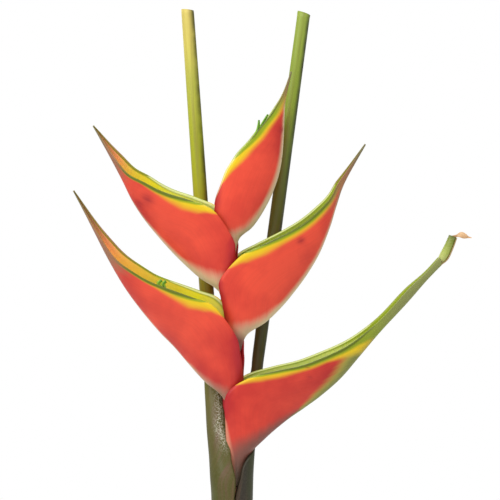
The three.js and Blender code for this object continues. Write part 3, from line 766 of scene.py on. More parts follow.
@dataclass
class Bract:
    """One boat-shaped bract, from the foot that clasps the flower stalk to its tip.

    Each row pairs a point of the keel with one of the rim's upper line, as keel x, keel
    height, rim x and rim height. Bands are widths in millimetres from the rim or the keel,
    given at places along the bract.
    """

    node: str
    side: Side
    ring_height: float
    roll: tuple[float, ...]
    rows: tuple[tuple[float, float, float, float], ...]
    bands: dict[str, list[tuple[float, float]]]
    warm: list[tuple[float, float]]
    foot_tone: list[tuple[float, float]] = field(default_factory=lambda: [(0.0, 0.0)])
    deep: float = 0.0
    tail_from: float = 9.0
    point_from: float = 0.94
    tip_from: float = 0.88
    tip_soft_mm: float = 12.0
    point_soft_mm: float = 6.0
    tail_soft_mm: float = 16.0
    open_from: tuple[float, float] = (0.27, 0.34)
    yellow_from: tuple[float, float] = (0.36, 0.47)
    glow_to: tuple[float, float] = (0.5, 0.7)
    # spots of deeper red as place, rise from keel to rim, size in millimetres and amount: partly
    # the bract's own tone, partly painted shading near the stem, where the next bract's foot lies
    # over it, and along the keel; a negative amount paints a lighter patch as a painted highlight
    shades: tuple[tuple[float, float, float, float], ...] = ()
    stains: tuple[tuple[float, float, float], ...] = ()
    half_width: float = 9.0
    wall: float = 1.2
    clearance: float = 0.3
    keel_sharpness: float = 1.15
    tip_depth: float = 0.9
    curl: tuple[float, ...] = (150, 128, 104, 96)
    steps: int = 150
    across: int = 49

    def frames(self, stalk: FlowerStalk, collar: float, t: np.ndarray) -> dict[str, np.ndarray]:
        """Works out the section frames along the bract.

        Args:
            stalk: the flower stalk that the foot clasps.
            collar: the collar's level.
            t: places along the bract, 0 at the foot and 1 at the tip.

        Returns:
            foot, up and cross vectors, depth, half width and curl for each place.
        """
        x, radius = stalk.at(self.ring_height)
        reach = radius + self.clearance + self.wall
        ring = (x + self.side.value * reach, self.ring_height - 0.5,
                x - self.side.value * reach, self.ring_height + 0.5)
        lines = along_rows(np.array((ring, *self.rows)), t)
        keel = np.stack([lines[:, 0], np.zeros(len(t)), collar + lines[:, 1]], axis=1)
        rim = np.stack([lines[:, 2], np.zeros(len(t)), collar + lines[:, 3]], axis=1)
        reach_up = rim - keel
        length = np.linalg.norm(reach_up, axis=1)
        flat_up = reach_up / length[:, None]
        span = np.maximum(length, self.tip_depth)
        half = self.half_width * np.tanh(span / (2 * self.half_width))
        roll = np.radians(along_rows(np.array(self.roll)[:, None], t)[:, 0])
        curl = np.radians(along_rows(np.array(self.curl)[:, None], t)[:, 0])
        depth = (span - half * np.sin(curl) * np.sin(roll)) / np.cos(roll)
        back = np.array([0.0, 1.0, 0.0])
        up = flat_up * np.cos(roll)[:, None] - back * np.sin(roll)[:, None]
        cross = back * np.cos(roll)[:, None] + flat_up * np.sin(roll)[:, None]
        foot = keel + 0.5 * depth[:, None] * (flat_up - up)
        return {"foot": foot, "up": up, "cross": cross, "depth": depth, "half": half,
                "curl": curl}

    def build(self, stalk: FlowerStalk, collar: float, material: bpy.types.Material) -> None:
        """Builds and dresses the bract.

        Args:
            stalk: the flower stalk that the foot clasps.
            collar: the collar's level.
            material: its skin.
        """
        t = np.linspace(0, 1, self.steps)
        f = self.frames(stalk, collar, t)
        turn = np.linspace(-1, 1, self.across)
        angle = f["curl"][:, None] * turn
        centre = f["depth"] / (1 - np.cos(f["curl"]))
        wall = np.minimum(self.wall, 0.45 * np.minimum(f["half"], centre))
        swell = 1 + 0.018 * np.sin(2 * math.pi * (3.2 * t[:, None] + 0.4 * turn))
        edge = np.abs(turn) ** 10
        flare = 0.5 * edge * (ease(0.3, 0.42, t) * (1 - ease(0.8, 0.95, t)))[:, None]
        ripple = 0.18 * edge * np.sin(2 * math.pi * 7.3 * t)[:, None]

        def line(inset: np.ndarray) -> np.ndarray:
            """Draws the sections at a depth inside the skin.

            Args:
                inset: the depth at each place along the bract.

            Returns:
                (places, points, 3) from the near rim round the keel to the far rim.
            """
            bulge = np.sign(angle) * np.abs(np.sin(angle)) ** self.keel_sharpness
            rise = centre[:, None] - (centre - inset)[:, None] * np.cos(angle) + ripple
            shift = (f["half"] - inset)[:, None] * bulge * swell + np.sign(turn) * flare
            return (f["foot"][:, None] + f["up"][:, None] * rise[..., None]
                    + f["cross"][:, None] * shift[..., None])

        outer, inner = line(np.zeros_like(wall)), line(wall)
        grid = folded_ring(outer, inner)
        piece = make_piece(f"{self.node}_skin", grid, *self.paint(grid, outer, t))
        finish_piece(piece, self.node, material)

    def paint(self, grid: np.ndarray, outer: np.ndarray,
              t: np.ndarray) -> tuple[dict[str, np.ndarray], np.ndarray]:
        """Measures how far each point lies from the edge of each band.

        Args:
            grid: the bract's closed rings.
            outer: its outer line only.
            t: places along the bract.

        Returns:
            The named fields, and the place on the skin.
        """
        steps = np.linalg.norm(np.diff(outer, axis=1), axis=2)
        arc = np.concatenate([np.zeros((len(t), 1)), np.cumsum(steps, axis=1)], axis=1)
        middle = self.across // 2
        keel_steps = np.linalg.norm(np.diff(outer[:, middle], axis=0), axis=1)
        along = np.concatenate([[0], np.cumsum(keel_steps)])[:, None]

        def folded(values: np.ndarray, near: np.ndarray | float,
                   far: np.ndarray | float) -> np.ndarray:
            """Lays the outer line's values on the closed rings.

            Args:
                values: values on the outer line.
                near: value on the near rim.
                far: value on the far rim.

            Returns:
                A value for each point of the rings.
            """
            shape = (len(t), 1)
            return np.concatenate([values, np.broadcast_to(far, shape), values[:, ::-1],
                                   np.broadcast_to(near, shape)], axis=1)

        half = arc[:, -1:] / 2
        rim = folded(np.minimum(arc, arc[:, -1:] - arc), 0.0, 0.0)
        is_near = folded(np.broadcast_to(np.arange(self.across) < middle, arc.shape) * 1.0,
                         1.0, 0.0) > 0.5
        away = {"rim": rim, "near rim": np.where(is_near, rim, UNPAINTED),
                "far rim": np.where(is_near, UNPAINTED, rim),
                "keel": folded(np.abs(arc - arc[:, middle:middle + 1]), half, half)}
        inner = np.zeros_like(rim)
        inner[:, self.across + 1:-1] = ease(*self.open_from, t)[:, None]
        fields = {}
        for name, (source, soft, softer) in EDGES.items():
            width = profile(self.bands.get(name, [(0, -9)]), t)[:, None]
            fields[name] = (away[source] - width) / (soft + softer * np.maximum(width, 0))
        # the yellow thins out towards the stem, and only the open boat glows
        fields["yellow"] += 0.7 * (1 - ease(*self.yellow_from, t))[:, None]
        wide = {
            "tail": (self.tail_from - t) * along[-1] / self.tail_soft_mm,
            "tip": (self.tip_from - t) * along[-1] / self.tip_soft_mm,
            "point": (self.point_from - t) * along[-1] / self.point_soft_mm,
            "warm": profile(self.warm, t), "foot_tone": profile(self.foot_tone, t),
        }
        fields |= {name: np.broadcast_to(values[:, None], rim.shape)
                   for name, values in wide.items()}
        fields |= {"inner": inner, "glow": inner * (1 - ease(*self.glow_to, t))[:, None],
                   "deep": np.full_like(rim, self.deep), "stain": np.zeros_like(rim)}
        # spots of painted shading and painted highlight in the deep field, and the stains
        spots = [(*shade, "deep") for shade in self.shades]
        spots += [(*stain, 1.0, "stain") for stain in self.stains]
        for place, rise, size, amount, name in spots:
            spot = outer[int(place * (len(t) - 1)), int(round((1 - rise) * middle))]
            gap = np.linalg.norm(grid - spot, axis=2)
            fields[name] = np.clip(fields[name] + amount * np.exp(-(gap / size) ** 2), 0, 1)
        skin = np.stack([folded(arc, 0.0, arc[:, -1:]),
                         np.broadcast_to(along, rim.shape)], axis=-1)
        return fields, skin


BRACTS = (
    Bract(
        "bract_lower_right", Side.RIGHT, 9, (0, 8, 15, 6),
        ((10, 26, -3.2, 27), (21, 38.3, -4.4, 46), (34, 49, -5, 65.5), (45, 56.5, 8, 77),
         (56, 64.5, 26, 82.3), (68, 75.2, 46, 87.6), (79.5, 89, 68, 97), (92, 104, 87, 109.5),
         (108.5, 121.8, 104, 127), (121, 136.2, 117.6, 139.6), (131.3, 146.8, 128.3, 150.3)),
        bands={
            "crimson": [(0.12, -6), (0.18, -1), (0.23, 2.4), (0.28, 3), (0.32, 0), (0.36, -6)],
            "blush": [(0, 6), (0.1, 4), (0.16, 2.4), (0.2, 0.8), (0.24, -3)],
            "foot": [(0, 32), (0.06, 28), (0.11, 20), (0.17, 12.5), (0.25, 6.5), (0.36, 3.6),
                     (0.5, 0.5), (0.6, -4)],
            "keel": [(0.24, -5), (0.32, 1), (0.4, 3.8), (0.46, 4.6), (0.52, 3), (0.56, -3)],
            "under": [(0.3, -4), (0.36, 4), (0.44, 7.2), (0.5, 8.8), (0.56, 10.4), (0.62, 12.6),
                      (0.67, 15)],
            "olive": [(0.2, -5), (0.28, 1.4), (0.36, 3.4), (0.43, 5.2), (0.5, 6.6), (0.56, 7.8),
                      (0.62, 9.2), (0.67, 12), (0.71, 20)],
            "yellow": [(0.3, -3), (0.335, 2.5), (0.38, 6.6), (0.43, 6), (0.5, 4.2), (0.57, 3.6),
                       (0.61, 6), (0.65, 10), (0.69, 8), (0.73, 2), (0.76, -4)],
            "green": [(0.34, -2), (0.4, 2), (0.5, 3), (0.6, 3.2), (0.66, 3.6), (0.7, 6),
                      (0.74, 20)],
            "line": [(0.36, -2), (0.42, 1), (0.5, 1.8), (0.62, 1.8), (0.72, 0.4), (0.76, -1)],
            "lip": [(0.24, -3), (0.3, 0.6), (0.6, 0.8), (0.72, 0.1), (0.75, -1)],
            "inner_green": [(0.3, 1.6), (0.6, 1.8), (0.7, 2.4), (1, 3)],
        },
        warm=[(0.2, 0.0), (0.3, 0.17), (0.6, 0.17), (0.74, 0.05)],
        foot_tone=[(0, 1), (0.05, 0.85), (0.1, 0.6), (0.2, 0.5)], deep=0.58, tip_from=1.6,
        point_from=1.6, tail_from=0.74,
        shades=((0.33, 0.3, 12, -0.35), (0.25, 0.95, 7, 0.4), (0.54, 0.45, 12, 0.5),
                (0.3, 0.1, 7, 0.5)),
        stains=((0.5, 0.72, 1.2), (0.53, 0.9, 1.0)),
    ),
    Bract(
        "bract_lower_left", Side.LEFT, 60, (0, 20, 24, 70),
        ((-7.8, 66, 7.4, 77), (-16.8, 72.6, 7.4, 90), (-27.2, 82.6, 5.5, 103),
         (-37.3, 93.6, -7, 122.2), (-46.3, 103.4, -21, 129.2), (-58.3, 118.6, -39, 135.4),
         (-68.2, 132.8, -54, 142.6), (-77, 148.3, -69, 153.5), (-86.2, 166.1, -82, 168.2),
         (-98.9, 191.4, -98.2, 191.8)),
        bands={
            "crimson": [(0.05, 8), (0.2, 7), (0.3, 4), (0.35, -6)],
            "foot": [(0, 11), (0.1, 8), (0.2, 5.5), (0.3, 3), (0.42, -4)],
            "keel": [(0, 1.4), (0.2, 1.6), (0.4, 2.4), (0.6, 2.4), (0.8, 2), (1, 1.2)],
            "olive": [(0.4, -3), (0.55, 0.6), (0.7, 1.4), (0.85, 2.4), (1, 2)],
            "yellow": [(0.34, -3), (0.38, 2), (0.42, 5.6), (0.48, 6.6), (0.55, 4.2), (0.62, 1.8),
                       (0.7, 0.6), (1, 0.3)],
            "green": [(0.41, -2), (0.46, 1.4), (0.54, 2.8), (0.62, 1.6), (1, 0.9)],
            "line": [(0.44, -2), (0.5, 1), (0.56, 1.9), (0.66, 1.2), (1, 0.9)],
            "lip": [(0.3, 1), (0.5, 1), (0.6, 0.1), (0.64, -2)],
            "inner_green": [(0.3, 2), (0.5, 1.6), (0.6, 0.8), (1, 0.6)],
            "inner_line": [(0.6, -2), (0.66, 0.3), (0.8, 0.7), (1, 1)],
        },
        warm=[(0.3, 0.25), (0.4, 0.3), (0.5, 0.42), (0.58, 0.52), (0.7, 0.58), (0.78, 0.68),
              (0.86, 0.84), (0.94, 1)],
        deep=0.12, tip_from=0.76, tip_soft_mm=9.0, foot_tone=[(0, 0.42), (0.16, 0.36), (0.3, 0.1)],
        shades=((0.28, 0.9, 13, 0.9), (0.15, 0.4, 9, 0.7), (0.72, 0.5, 12, 0.6),
                (0.6, 0.15, 9, 0.4), (0.42, 0.2, 10, 0.4), (0.28, 0.3, 11, 0.5)),
    ),
    Bract(
        "bract_upper_right", Side.RIGHT, 93, (0, 8, 14, 20),
        ((9.5, 102.5, -5, 113), (21, 110, -7, 125), (31.4, 119.8, -8.9, 136),
         (39.9, 129.8, 1.5, 150.5), (47.4, 140.1, 15, 158.7), (54.8, 153, 33, 167.5),
         (61, 168.8, 50, 179.2), (65.1, 182.5, 60, 189.5), (70.4, 197.4, 67, 200.3),
         (83.1, 220.2, 82.5, 220.7)),
        bands={
            "crimson": [(0.05, 4), (0.2, 3), (0.3, 2.4), (0.35, -6)],
            "foot": [(0, 15), (0.1, 11), (0.2, 7), (0.3, 4), (0.44, -4)],
            "keel": [(0, -3), (0.06, 0), (0.14, 4), (0.3, 4.2), (0.6, 3.6), (1, 2)],
            "olive": [(0.5, -3), (0.7, 0.8), (0.9, 2), (1, 2)],
            "yellow": [(0.33, -3), (0.365, 2), (0.41, 6), (0.48, 6.4), (0.56, 4.6),
                       (0.66, 3.4), (0.8, 2.4), (1, 1.6)],
            "green": [(0.4, -2), (0.46, 1.4), (0.55, 2.6), (0.75, 2.2), (1, 1.3)],
            "line": [(0.44, -2), (0.52, 1), (0.7, 1.3), (0.9, 0.7), (1, 0.5)],
            "lip": [(0.3, 0.7), (0.45, 0.6), (0.7, 0.4), (0.86, 0.1), (0.9, -1)],
            "inner_green": [(0.3, 1.4), (0.8, 1.4), (1, 0.6)],
            "inner_line": [(0.8, -2), (0.88, 0.4), (1, 0.8)],
        },
        warm=[(0.3, 0.12), (0.42, 0.04), (0.8, 0.0)], deep=0.12, tip_from=0.83,
        tip_soft_mm=18.0, foot_tone=[(0, 0.9), (0.05, 0.6), (0.1, 0.1), (0.2, 0)],
        shades=((0.25, 0.8, 10, 0.35), (0.5, 0.1, 10, 0.3), (0.7, 0.4, 8, 0.2)),
        stains=((0.6, 0.75, 2.6),),
    ),
    Bract(
        "bract_upper_left", Side.LEFT, 126, (0, 12, 20, 62),
        ((-10.6, 131.5, 3.4, 140), (-19.4, 137, 3.6, 151), (-28.4, 144.5, 3, 161.5),
         (-37.9, 153.5, -7, 179), (-46.4, 163.1, -21, 187), (-55.3, 174.2, -36, 191.8),
         (-62.7, 185.7, -50.5, 199.5), (-69.1, 199, -62, 206.2), (-76.4, 212.8, -72.5, 216.7),
         (-86.5, 231.7, -85.9, 232.1)),
        bands={
            "crimson": [(0.05, 8), (0.2, 7), (0.3, 4), (0.35, -6)],
            "foot": [(0, 17), (0.1, 14), (0.2, 10), (0.32, 5), (0.46, -4)],
            "keel": [(0, 7), (0.2, 5.4), (0.4, 3.8), (0.6, 2.6), (1, 1.4)],
            "olive": [(0.5, -3), (0.7, 0.6), (0.85, 1.6), (1, 1.6)],
            "yellow": [(0.37, -3), (0.41, 2), (0.45, 5.4), (0.51, 6.4), (0.57, 4.6), (0.62, 2.6),
                       (0.7, 1), (1, 0.4)],
            "green": [(0.43, -2), (0.48, 1.4), (0.54, 2.8), (0.62, 2.2), (0.72, 1.2), (1, 0.8)],
            "line": [(0.46, -2), (0.52, 1.2), (0.58, 2), (0.68, 1.4), (1, 0.9)],
            "lip": [(0.3, 1.4), (0.6, 1.3), (0.72, 0.3), (0.76, -1)],
            "inner_green": [(0.3, 1.6), (0.5, 2), (0.7, 1.2), (1, 0.6)],
            "inner_line": [(0.66, -2), (0.72, 0.3), (0.84, 0.8), (1, 1)],
        },
        warm=[(0.3, 0.15), (0.45, 0.22), (0.58, 0.32), (0.68, 0.42), (0.76, 0.52), (0.83, 0.68),
              (0.9, 0.86), (0.97, 1)],
        deep=0.06, tip_from=0.82, tip_soft_mm=9.0,
        shades=((0.3, 0.95, 12, 0.8), (0.24, 0.5, 11, 0.6), (0.6, 0.15, 9, 0.6),
                (0.68, 0.35, 6, 0.5)),
        stains=((0.65, 0.72, 4.2), (0.66, 0.42, 2.6)),
    ),
    Bract(
        "bract_top", Side.RIGHT, 150, (0, 5, 8, 10),
        ((4.5, 161.7, -9.5, 166), (13.5, 170, -11.5, 180), (22.5, 184.3, -9, 191),
         (28.5, 199, -4, 203.8), (31.3, 212.5, 2, 213.7), (32.3, 226, 11.5, 224.8),
         (32.7, 238, 21.5, 237), (33.6, 249, 29.5, 248.5), (37.2, 265.2, 36.6, 265.6)),
        bands={
            "foot": [(0, -4), (0.06, 2), (0.12, 9), (0.2, 6), (0.35, 3), (0.5, -3)],
            "keel": [(0, -4), (0.06, -1), (0.13, 4), (0.3, 5), (0.6, 3.4), (0.8, 2.4), (1, 1.4)],
            "olive": [(0.6, -3), (0.85, 0.4), (1, 2)],
            "yellow": [(0.33, -3), (0.39, 1.2), (0.47, 3.4), (0.55, 5.6), (0.65, 6.6),
                       (0.8, 5.6), (1, 3)],
            "green": [(0.49, -2), (0.55, 1.2), (0.6, 3), (0.68, 4.2), (0.8, 4), (0.9, 2.6),
                      (1, 2)],
            "line": [(0.58, -2), (0.66, 0.9), (0.8, 1.1), (1, 0.6)],
            "lip": [(0.3, 0.3), (0.5, 0.3), (0.6, 0.1), (1, 0)],
            "inner_green": [(0.3, -2), (0.5, -1), (0.6, 1), (1, 1)],
            "crimson": [(0, 20), (0.06, 8), (0.12, 0), (0.18, 1.6), (0.28, 2.4), (0.36, 0.4),
                        (0.42, -4)],
        },
        warm=[(0, 0.2), (0.45, 0.2), (0.6, 0)], deep=0.2, tip_from=0.9, tip_soft_mm=14.0,
        shades=((0.7, 0.35, 9, 0.6), (0.58, 0.15, 7, 0.5), (0.5, 0.6, 9, -0.3),
                (0.35, 0.3, 8, 0.2)),
        stains=((0.555, 0.1, 0.8), (0.7, 0.3, 2.2)),
    ),
)


# ------------------------------------------------------------------ leaf stalks


@dataclass
class LeafStalk:
    """A leaf stalk with its sheath: a split tube below that closes to a grooved stalk above.

    Each row is height above the collar, x, y, radius, wall, facing and gape in degrees.
    """

    node: str
    slot: str
    rows: tuple[tuple[float, ...], ...]
    top_slope: float
    wax_side: float = 0.0
    wax_from: tuple[float, float] = (26, 42)
    wax_to: tuple[float, float] = (66, 76)
    wax_width: float = 2.6
    dark_from: float = 0.0
    streak_at: float = 264.0
    streak_spread: float = 28.0
    steps: int = 300
    across: int = 61

    def build(self, collar: float, material: bpy.types.Material) -> None:
        """Builds and dresses the stalk.

        Args:
            collar: the collar's level.
            material: its skin.
        """
        t = np.linspace(0, 1, self.steps)
        height, x, y, radius, wall, facing, gape = along_rows(np.array(self.rows), t).T
        start, sweep = np.radians(facing + gape), np.radians(360 - 2 * gape)
        turn = np.linspace(0, 1, self.across)
        angle = start[:, None] + sweep[:, None] * turn
        tilt = np.where(t > 1 - 0.5 / self.steps, self.top_slope, 0.0)

        def line(r: np.ndarray) -> np.ndarray:
            """Draws the sections at a distance from the axis.

            Args:
                r: the distance at each height.

            Returns:
                (heights, points, 3) from one margin of the sheath to the other.
            """
            dx = r[:, None] * np.cos(angle)
            return np.stack([x[:, None] + dx, y[:, None] + r[:, None] * np.sin(angle),
                             collar + height[:, None] - tilt[:, None] * dx], axis=-1)

        outer, inner = line(radius), line(np.maximum(radius - wall, 0.2 * radius))
        grid = folded_ring(outer, inner)
        empty = np.zeros((len(t), 1))

        def folded(values: np.ndarray) -> np.ndarray:
            """Lays the outer line's values on the closed rings, with none on the margins.

            Args:
                values: values on the outer line.

            Returns:
                A value for each point of the rings.
            """
            return np.concatenate([values, empty, values[:, ::-1], empty], axis=1)

        tall = np.broadcast_to(height[:, None], grid.shape[:2])
        low = 1 - ease(10, 95, height)[:, None]
        from_edge = (1 - turn) * (radius * sweep)[:, None]
        middle = 2.4 + 4.8 * ease(26, 50, height)[:, None]
        strip = np.exp(-((from_edge - middle) / self.wax_width) ** 2)
        waxed = ease(*self.wax_from, height) * (1 - ease(*self.wax_to, height))
        fields = {
            "height_mm": tall,
            "streak": folded((0.4 + 0.6 * low) * np.exp(
                -((np.degrees(angle) - self.streak_at) / self.streak_spread) ** 2)),
            # painted shading: the side that faces +X, away from the key light, is darkened
            "shade": folded(ease(self.dark_from, 0.85 + 0.3 * self.dark_from, np.cos(angle))),
            "wax": folded(self.wax_side * strip * waxed[:, None] + 0.03 * low),
        }
        skin = np.stack([folded(radius[:, None] * angle), tall], axis=-1)
        piece = make_piece(f"{self.node}_skin", grid, fields, skin)
        finish_piece(piece, self.node, material)


LEFT_STALK = LeafStalk(
    "left_leaf_stalk", "left_stalk_skin",
    ((CROWN, 0, 0, 14.2, 2.2, 0, 40), (-100, 0, 0, 13.45, 2.2, 0, 55),
     (-40, 0, 0, 13, 2.2, 0, 76), (-12, 0, 0, 12.8, 2.2, 0, 84),
     (2, -0.1, 0, 12.7, 2.2, 0, 85), (14, -1.2, 0.3, 12.4, 2.2, 0, 75),
     (27, -4.4, 1.8, 9.95, 2.2, 0, 68), (43, -7.8, 4.4, 8, 2.4, 20, 62),
     (56, -10.2, 7.6, 6.4, 2.6, 40, 44), (74, -12.2, 12, 5.4, 2.9, 50, 36),
     (98, -13, 16.5, 4.9, 2.9, 0, 32), (130, -15.9, 17, 4.9, 2.9, 0, 32),
     (198, -20.4, 17, 4.8, 2.9, 0, 32), (306.5, -28, 17, 4.3, 2.9, 0, 32)),
    top_slope=0.12, wax_side=1.0,
)
RIGHT_STALK = LeafStalk(
    "right_leaf_stalk", "right_stalk_skin",
    ((CROWN, 0.7, 0, 11, 2.2, 180, 45), (-100, 1.4, 0, 10.25, 2.2, 180, 60),
     (-40, 2.6, 0, 9.8, 2.2, 180, 72), (-12, 3.2, 0, 9.6, 2.2, 180, 78),
     (2, 3.5, 0, 9.5, 2.2, 180, 82), (14, 4.1, 0.4, 9.2, 2.2, 182, 98),
     (24, 4.7, 1.4, 9.1, 2.2, 190, 108), (34, 6, 5, 8.6, 2.2, 240, 118),
     (46, 10, 11, 5.6, 2.2, 268, 100), (60, 13.2, 14.6, 4.6, 2.9, 250, 50),
     (81, 15.4, 16, 4, 2.9, 180, 35), (105, 18.4, 16, 4.3, 2.9, 180, 32),
     (164, 26, 16, 4.7, 2.9, 180, 32), (304.5, 44.9, 16, 4.4, 2.9, 180, 32)),
    top_slope=0.33, dark_from=0.35,
)


@dataclass
class ScaleLeaf:
    """A short dry scale leaf round the stem's foot, with a torn, pointed top."""

    node: str
    inner_radius: float
    height: float
    facing: float
    wall: float = 1.5
    steps: int = 70
    across: int = 61

    def build(self, mix_level: float, collar: float, material: bpy.types.Material) -> None:
        """Builds and dresses the scale leaf.

        Args:
            mix_level: the potting mix's level.
            collar: the collar's level.
            material: its skin.
        """
        bottom = collar + CROWN + 4
        rows = ((bottom, 30), (mix_level, 50), (mix_level + 0.55 * self.height, 105),
                (mix_level + self.height, 170))
        t = np.linspace(0, 1, self.steps)
        height, gape = along_rows(np.array(rows), t).T
        start, sweep = np.radians(self.facing + gape), np.radians(360 - 2 * gape)
        turn = np.linspace(0, 1, self.across)
        angle = start[:, None] + sweep[:, None] * turn
        tear = 1 + 0.02 * np.sin(40 * t)[:, None] * (np.abs(2 * turn - 1) ** 8)
        crinkle = 0.12 * np.sin(26 * angle + 3 * np.sin(6 * t)[:, None])

        def line(r: float) -> np.ndarray:
            """Draws the sections at a distance from the axis.

            Args:
                r: the distance.

            Returns:
                (heights, points, 3) from one margin to the other.
            """
            grown = r * tear + crinkle
            return np.stack([grown * np.cos(angle), grown * np.sin(angle),
                             np.broadcast_to(height[:, None], angle.shape)], axis=-1)

        outer_radius = self.inner_radius + self.wall
        grid = folded_ring(line(outer_radius - 0.2), line(self.inner_radius + 0.3))
        piece = make_piece(f"{self.node}_skin", grid)
        finish_piece(piece, self.node, material)


# ------------------------------------------------------------------ rolled blade and flowers


@dataclass
class RolledBlade:
    """The rolled remnant of the blade at the end of the lowest bract's tail."""

    radius: float = 3.3
    turns: float = 1.7
    wall: float = 0.35
    innermost: float = 0.25
    steps: int = 40
    across: int = 90

    def build(self, tail: np.ndarray, blade: bpy.types.Material,
              dry: bpy.types.Material) -> None:
        """Builds the roll, and the dry flag that hangs from its end.

        Args:
            tail: the middle of the tail's end.
            blade: the fresh blade's skin.
            dry: the dry flag's skin.
        """
        way = rod_grid([(*(tail + (-1.6, 0, -1.6)), 0.6 * self.radius),
                        (*(tail + (1.4, 0, 2.4)), self.radius),
                        (*(tail + (4.4, 0, 8.4)), self.radius - 0.1),
                        (*(tail + (7.1, 0, 15)), self.radius - 0.4)], self.steps, 4)
        centre = way.mean(axis=1)
        side, up = (way[:, 0] - way[:, 2]) / 2, (way[:, 1] - way[:, 3]) / 2
        turn = np.linspace(self.innermost, 1, self.across)
        angle = 2 * math.pi * self.turns * turn + 4.15
        size = 0.62 + 0.4 * turn
        lengthwise = np.linspace(0, 1, self.steps)

        def line(inset: float) -> np.ndarray:
            """Draws the roll's sections at a depth inside its skin.

            Args:
                inset: the depth.

            Returns:
                (places, points, 3) from the innermost turn outwards.
            """
            reach = (size - inset / self.radius)[None, :, None]
            return (centre[:, None] + reach * (side[:, None] * np.cos(angle)[None, :, None]
                                               + up[:, None] * np.sin(angle)[None, :, None]))

        grid = folded_ring(line(0.0), line(self.wall))
        ring = np.concatenate([turn, [1.0], turn[::-1], [self.innermost]])[None]
        height = np.broadcast_to(100 * lengthwise[:, None], grid.shape[:2])
        skin = np.stack([np.broadcast_to(35 * ring, grid.shape[:2]), 0.16 * height], axis=-1)
        seam = np.exp(-((ring - 1) / 0.016) ** 2)
        joint = np.exp(-(lengthwise[:, None] / 0.17) ** 4)
        fields = {"height_mm": height,
                  "streak": np.clip(seam + joint, 0, 1) * 2.5,
                  # here the shade coat lays the tan margin of the outer turn, the blade's own
                  # colour
                  "shade": np.broadcast_to(ease(0.86, 0.9, ring) * 1.3, grid.shape[:2]),
                  "wax": np.full(grid.shape[:2], 0.15)}
        roll = make_piece("rolled_blade", grid, fields, skin)
        finish_piece(roll, "bract_lower_right", blade)
        flag = self.flag(tail)
        finish_piece(make_piece("dry_flag", flag), "bract_lower_right", dry)

    def flag(self, tail: np.ndarray) -> np.ndarray:
        """Shapes the dry, crumpled flag.

        Args:
            tail: the middle of the tail's end.

        Returns:
            Its rings of points.
        """
        way = ((6.4, -1, 14.2, 0.16), (9.3, -0.8, 15.3, 0.1), (12.2, -0.4, 15.9, 0.23),
               (14.6, 0.2, 15.1, 0.2), (16.6, 0.5, 14.5, 0.08), (18.9, 0.6, 14.1, 0.03))
        rows = [(*(tail + place), radius) for *place, radius in way]
        grid = rod_grid(rows, 40, 28, 8.0)
        ripple = np.sin(np.linspace(0, 11, 40))[:, None] * np.sin(np.linspace(0, 6.28, 28))[None]
        grid[..., 1] += 0.4 * ripple
        return grid


@dataclass
class Flower:
    """A slim three-ribbed flower or bud that lies in a bract.

    Each row of the way is place along the bract, rise as a share of its depth, shift across
    in millimetres and radius.
    """

    node: str
    bract: str
    way: tuple[tuple[float, float, float, float], ...]
    lobes: tuple[tuple[tuple[float, float, float], ...], ...] = ()
    lobe_radius: float = 0.8

    def build(self, bracts: dict[str, Bract], stalk: FlowerStalk, collar: float,
              material: bpy.types.Material) -> None:
        """Builds and dresses the flower.

        Args:
            bracts: the bracts by node name.
            stalk: the flower stalk.
            collar: the collar's level.
            material: its skin.
        """
        table = np.array(self.way)
        f = bracts[self.bract].frames(stalk, collar, table[:, 0])
        points = (f["foot"] + f["up"] * (table[:, 1] * f["depth"])[:, None]
                  + f["cross"] * table[:, 2:3])
        rows = [(*point, radius) for point, radius in zip(points, table[:, 3])]
        rods = [(f"{self.node}_skin", rows)]
        for k, offsets in enumerate(self.lobes):
            sizes = self.lobe_radius * np.linspace(1, 0.5, len(offsets))
            rods.append((f"{self.node}_lobe_{k + 1}",
                         [(*(points[-1] + offset), size) for offset, size in zip(offsets, sizes)]))
        steps, ring = 48, 30
        turn = np.linspace(0, 2 * math.pi, ring, endpoint=False)
        for name, way in rods:
            grid = rod_grid(way, steps, ring)
            centre = grid.mean(axis=1, keepdims=True)
            ribs = 1 - 0.1 * np.abs(np.sin(1.5 * turn))[None, :, None]
            grid = centre + (grid - centre) * ribs
            height = np.broadcast_to(np.linspace(0, 100, steps)[:, None], grid.shape[:2])
            empty = np.zeros(grid.shape[:2])
            # painted shading: the grooves between the ribs are darkened towards the shade green
            groove = np.broadcast_to(np.abs(np.sin(1.5 * turn)) ** 3, grid.shape[:2])
            fields = {"height_mm": height, "streak": empty + 0.1, "shade": groove, "wax": empty}
            skin = np.stack([np.broadcast_to(3 * turn, grid.shape[:2]), height * 0.4], axis=-1)
            piece = make_piece(name, grid, fields, skin)
            finish_piece(piece, self.node, material)


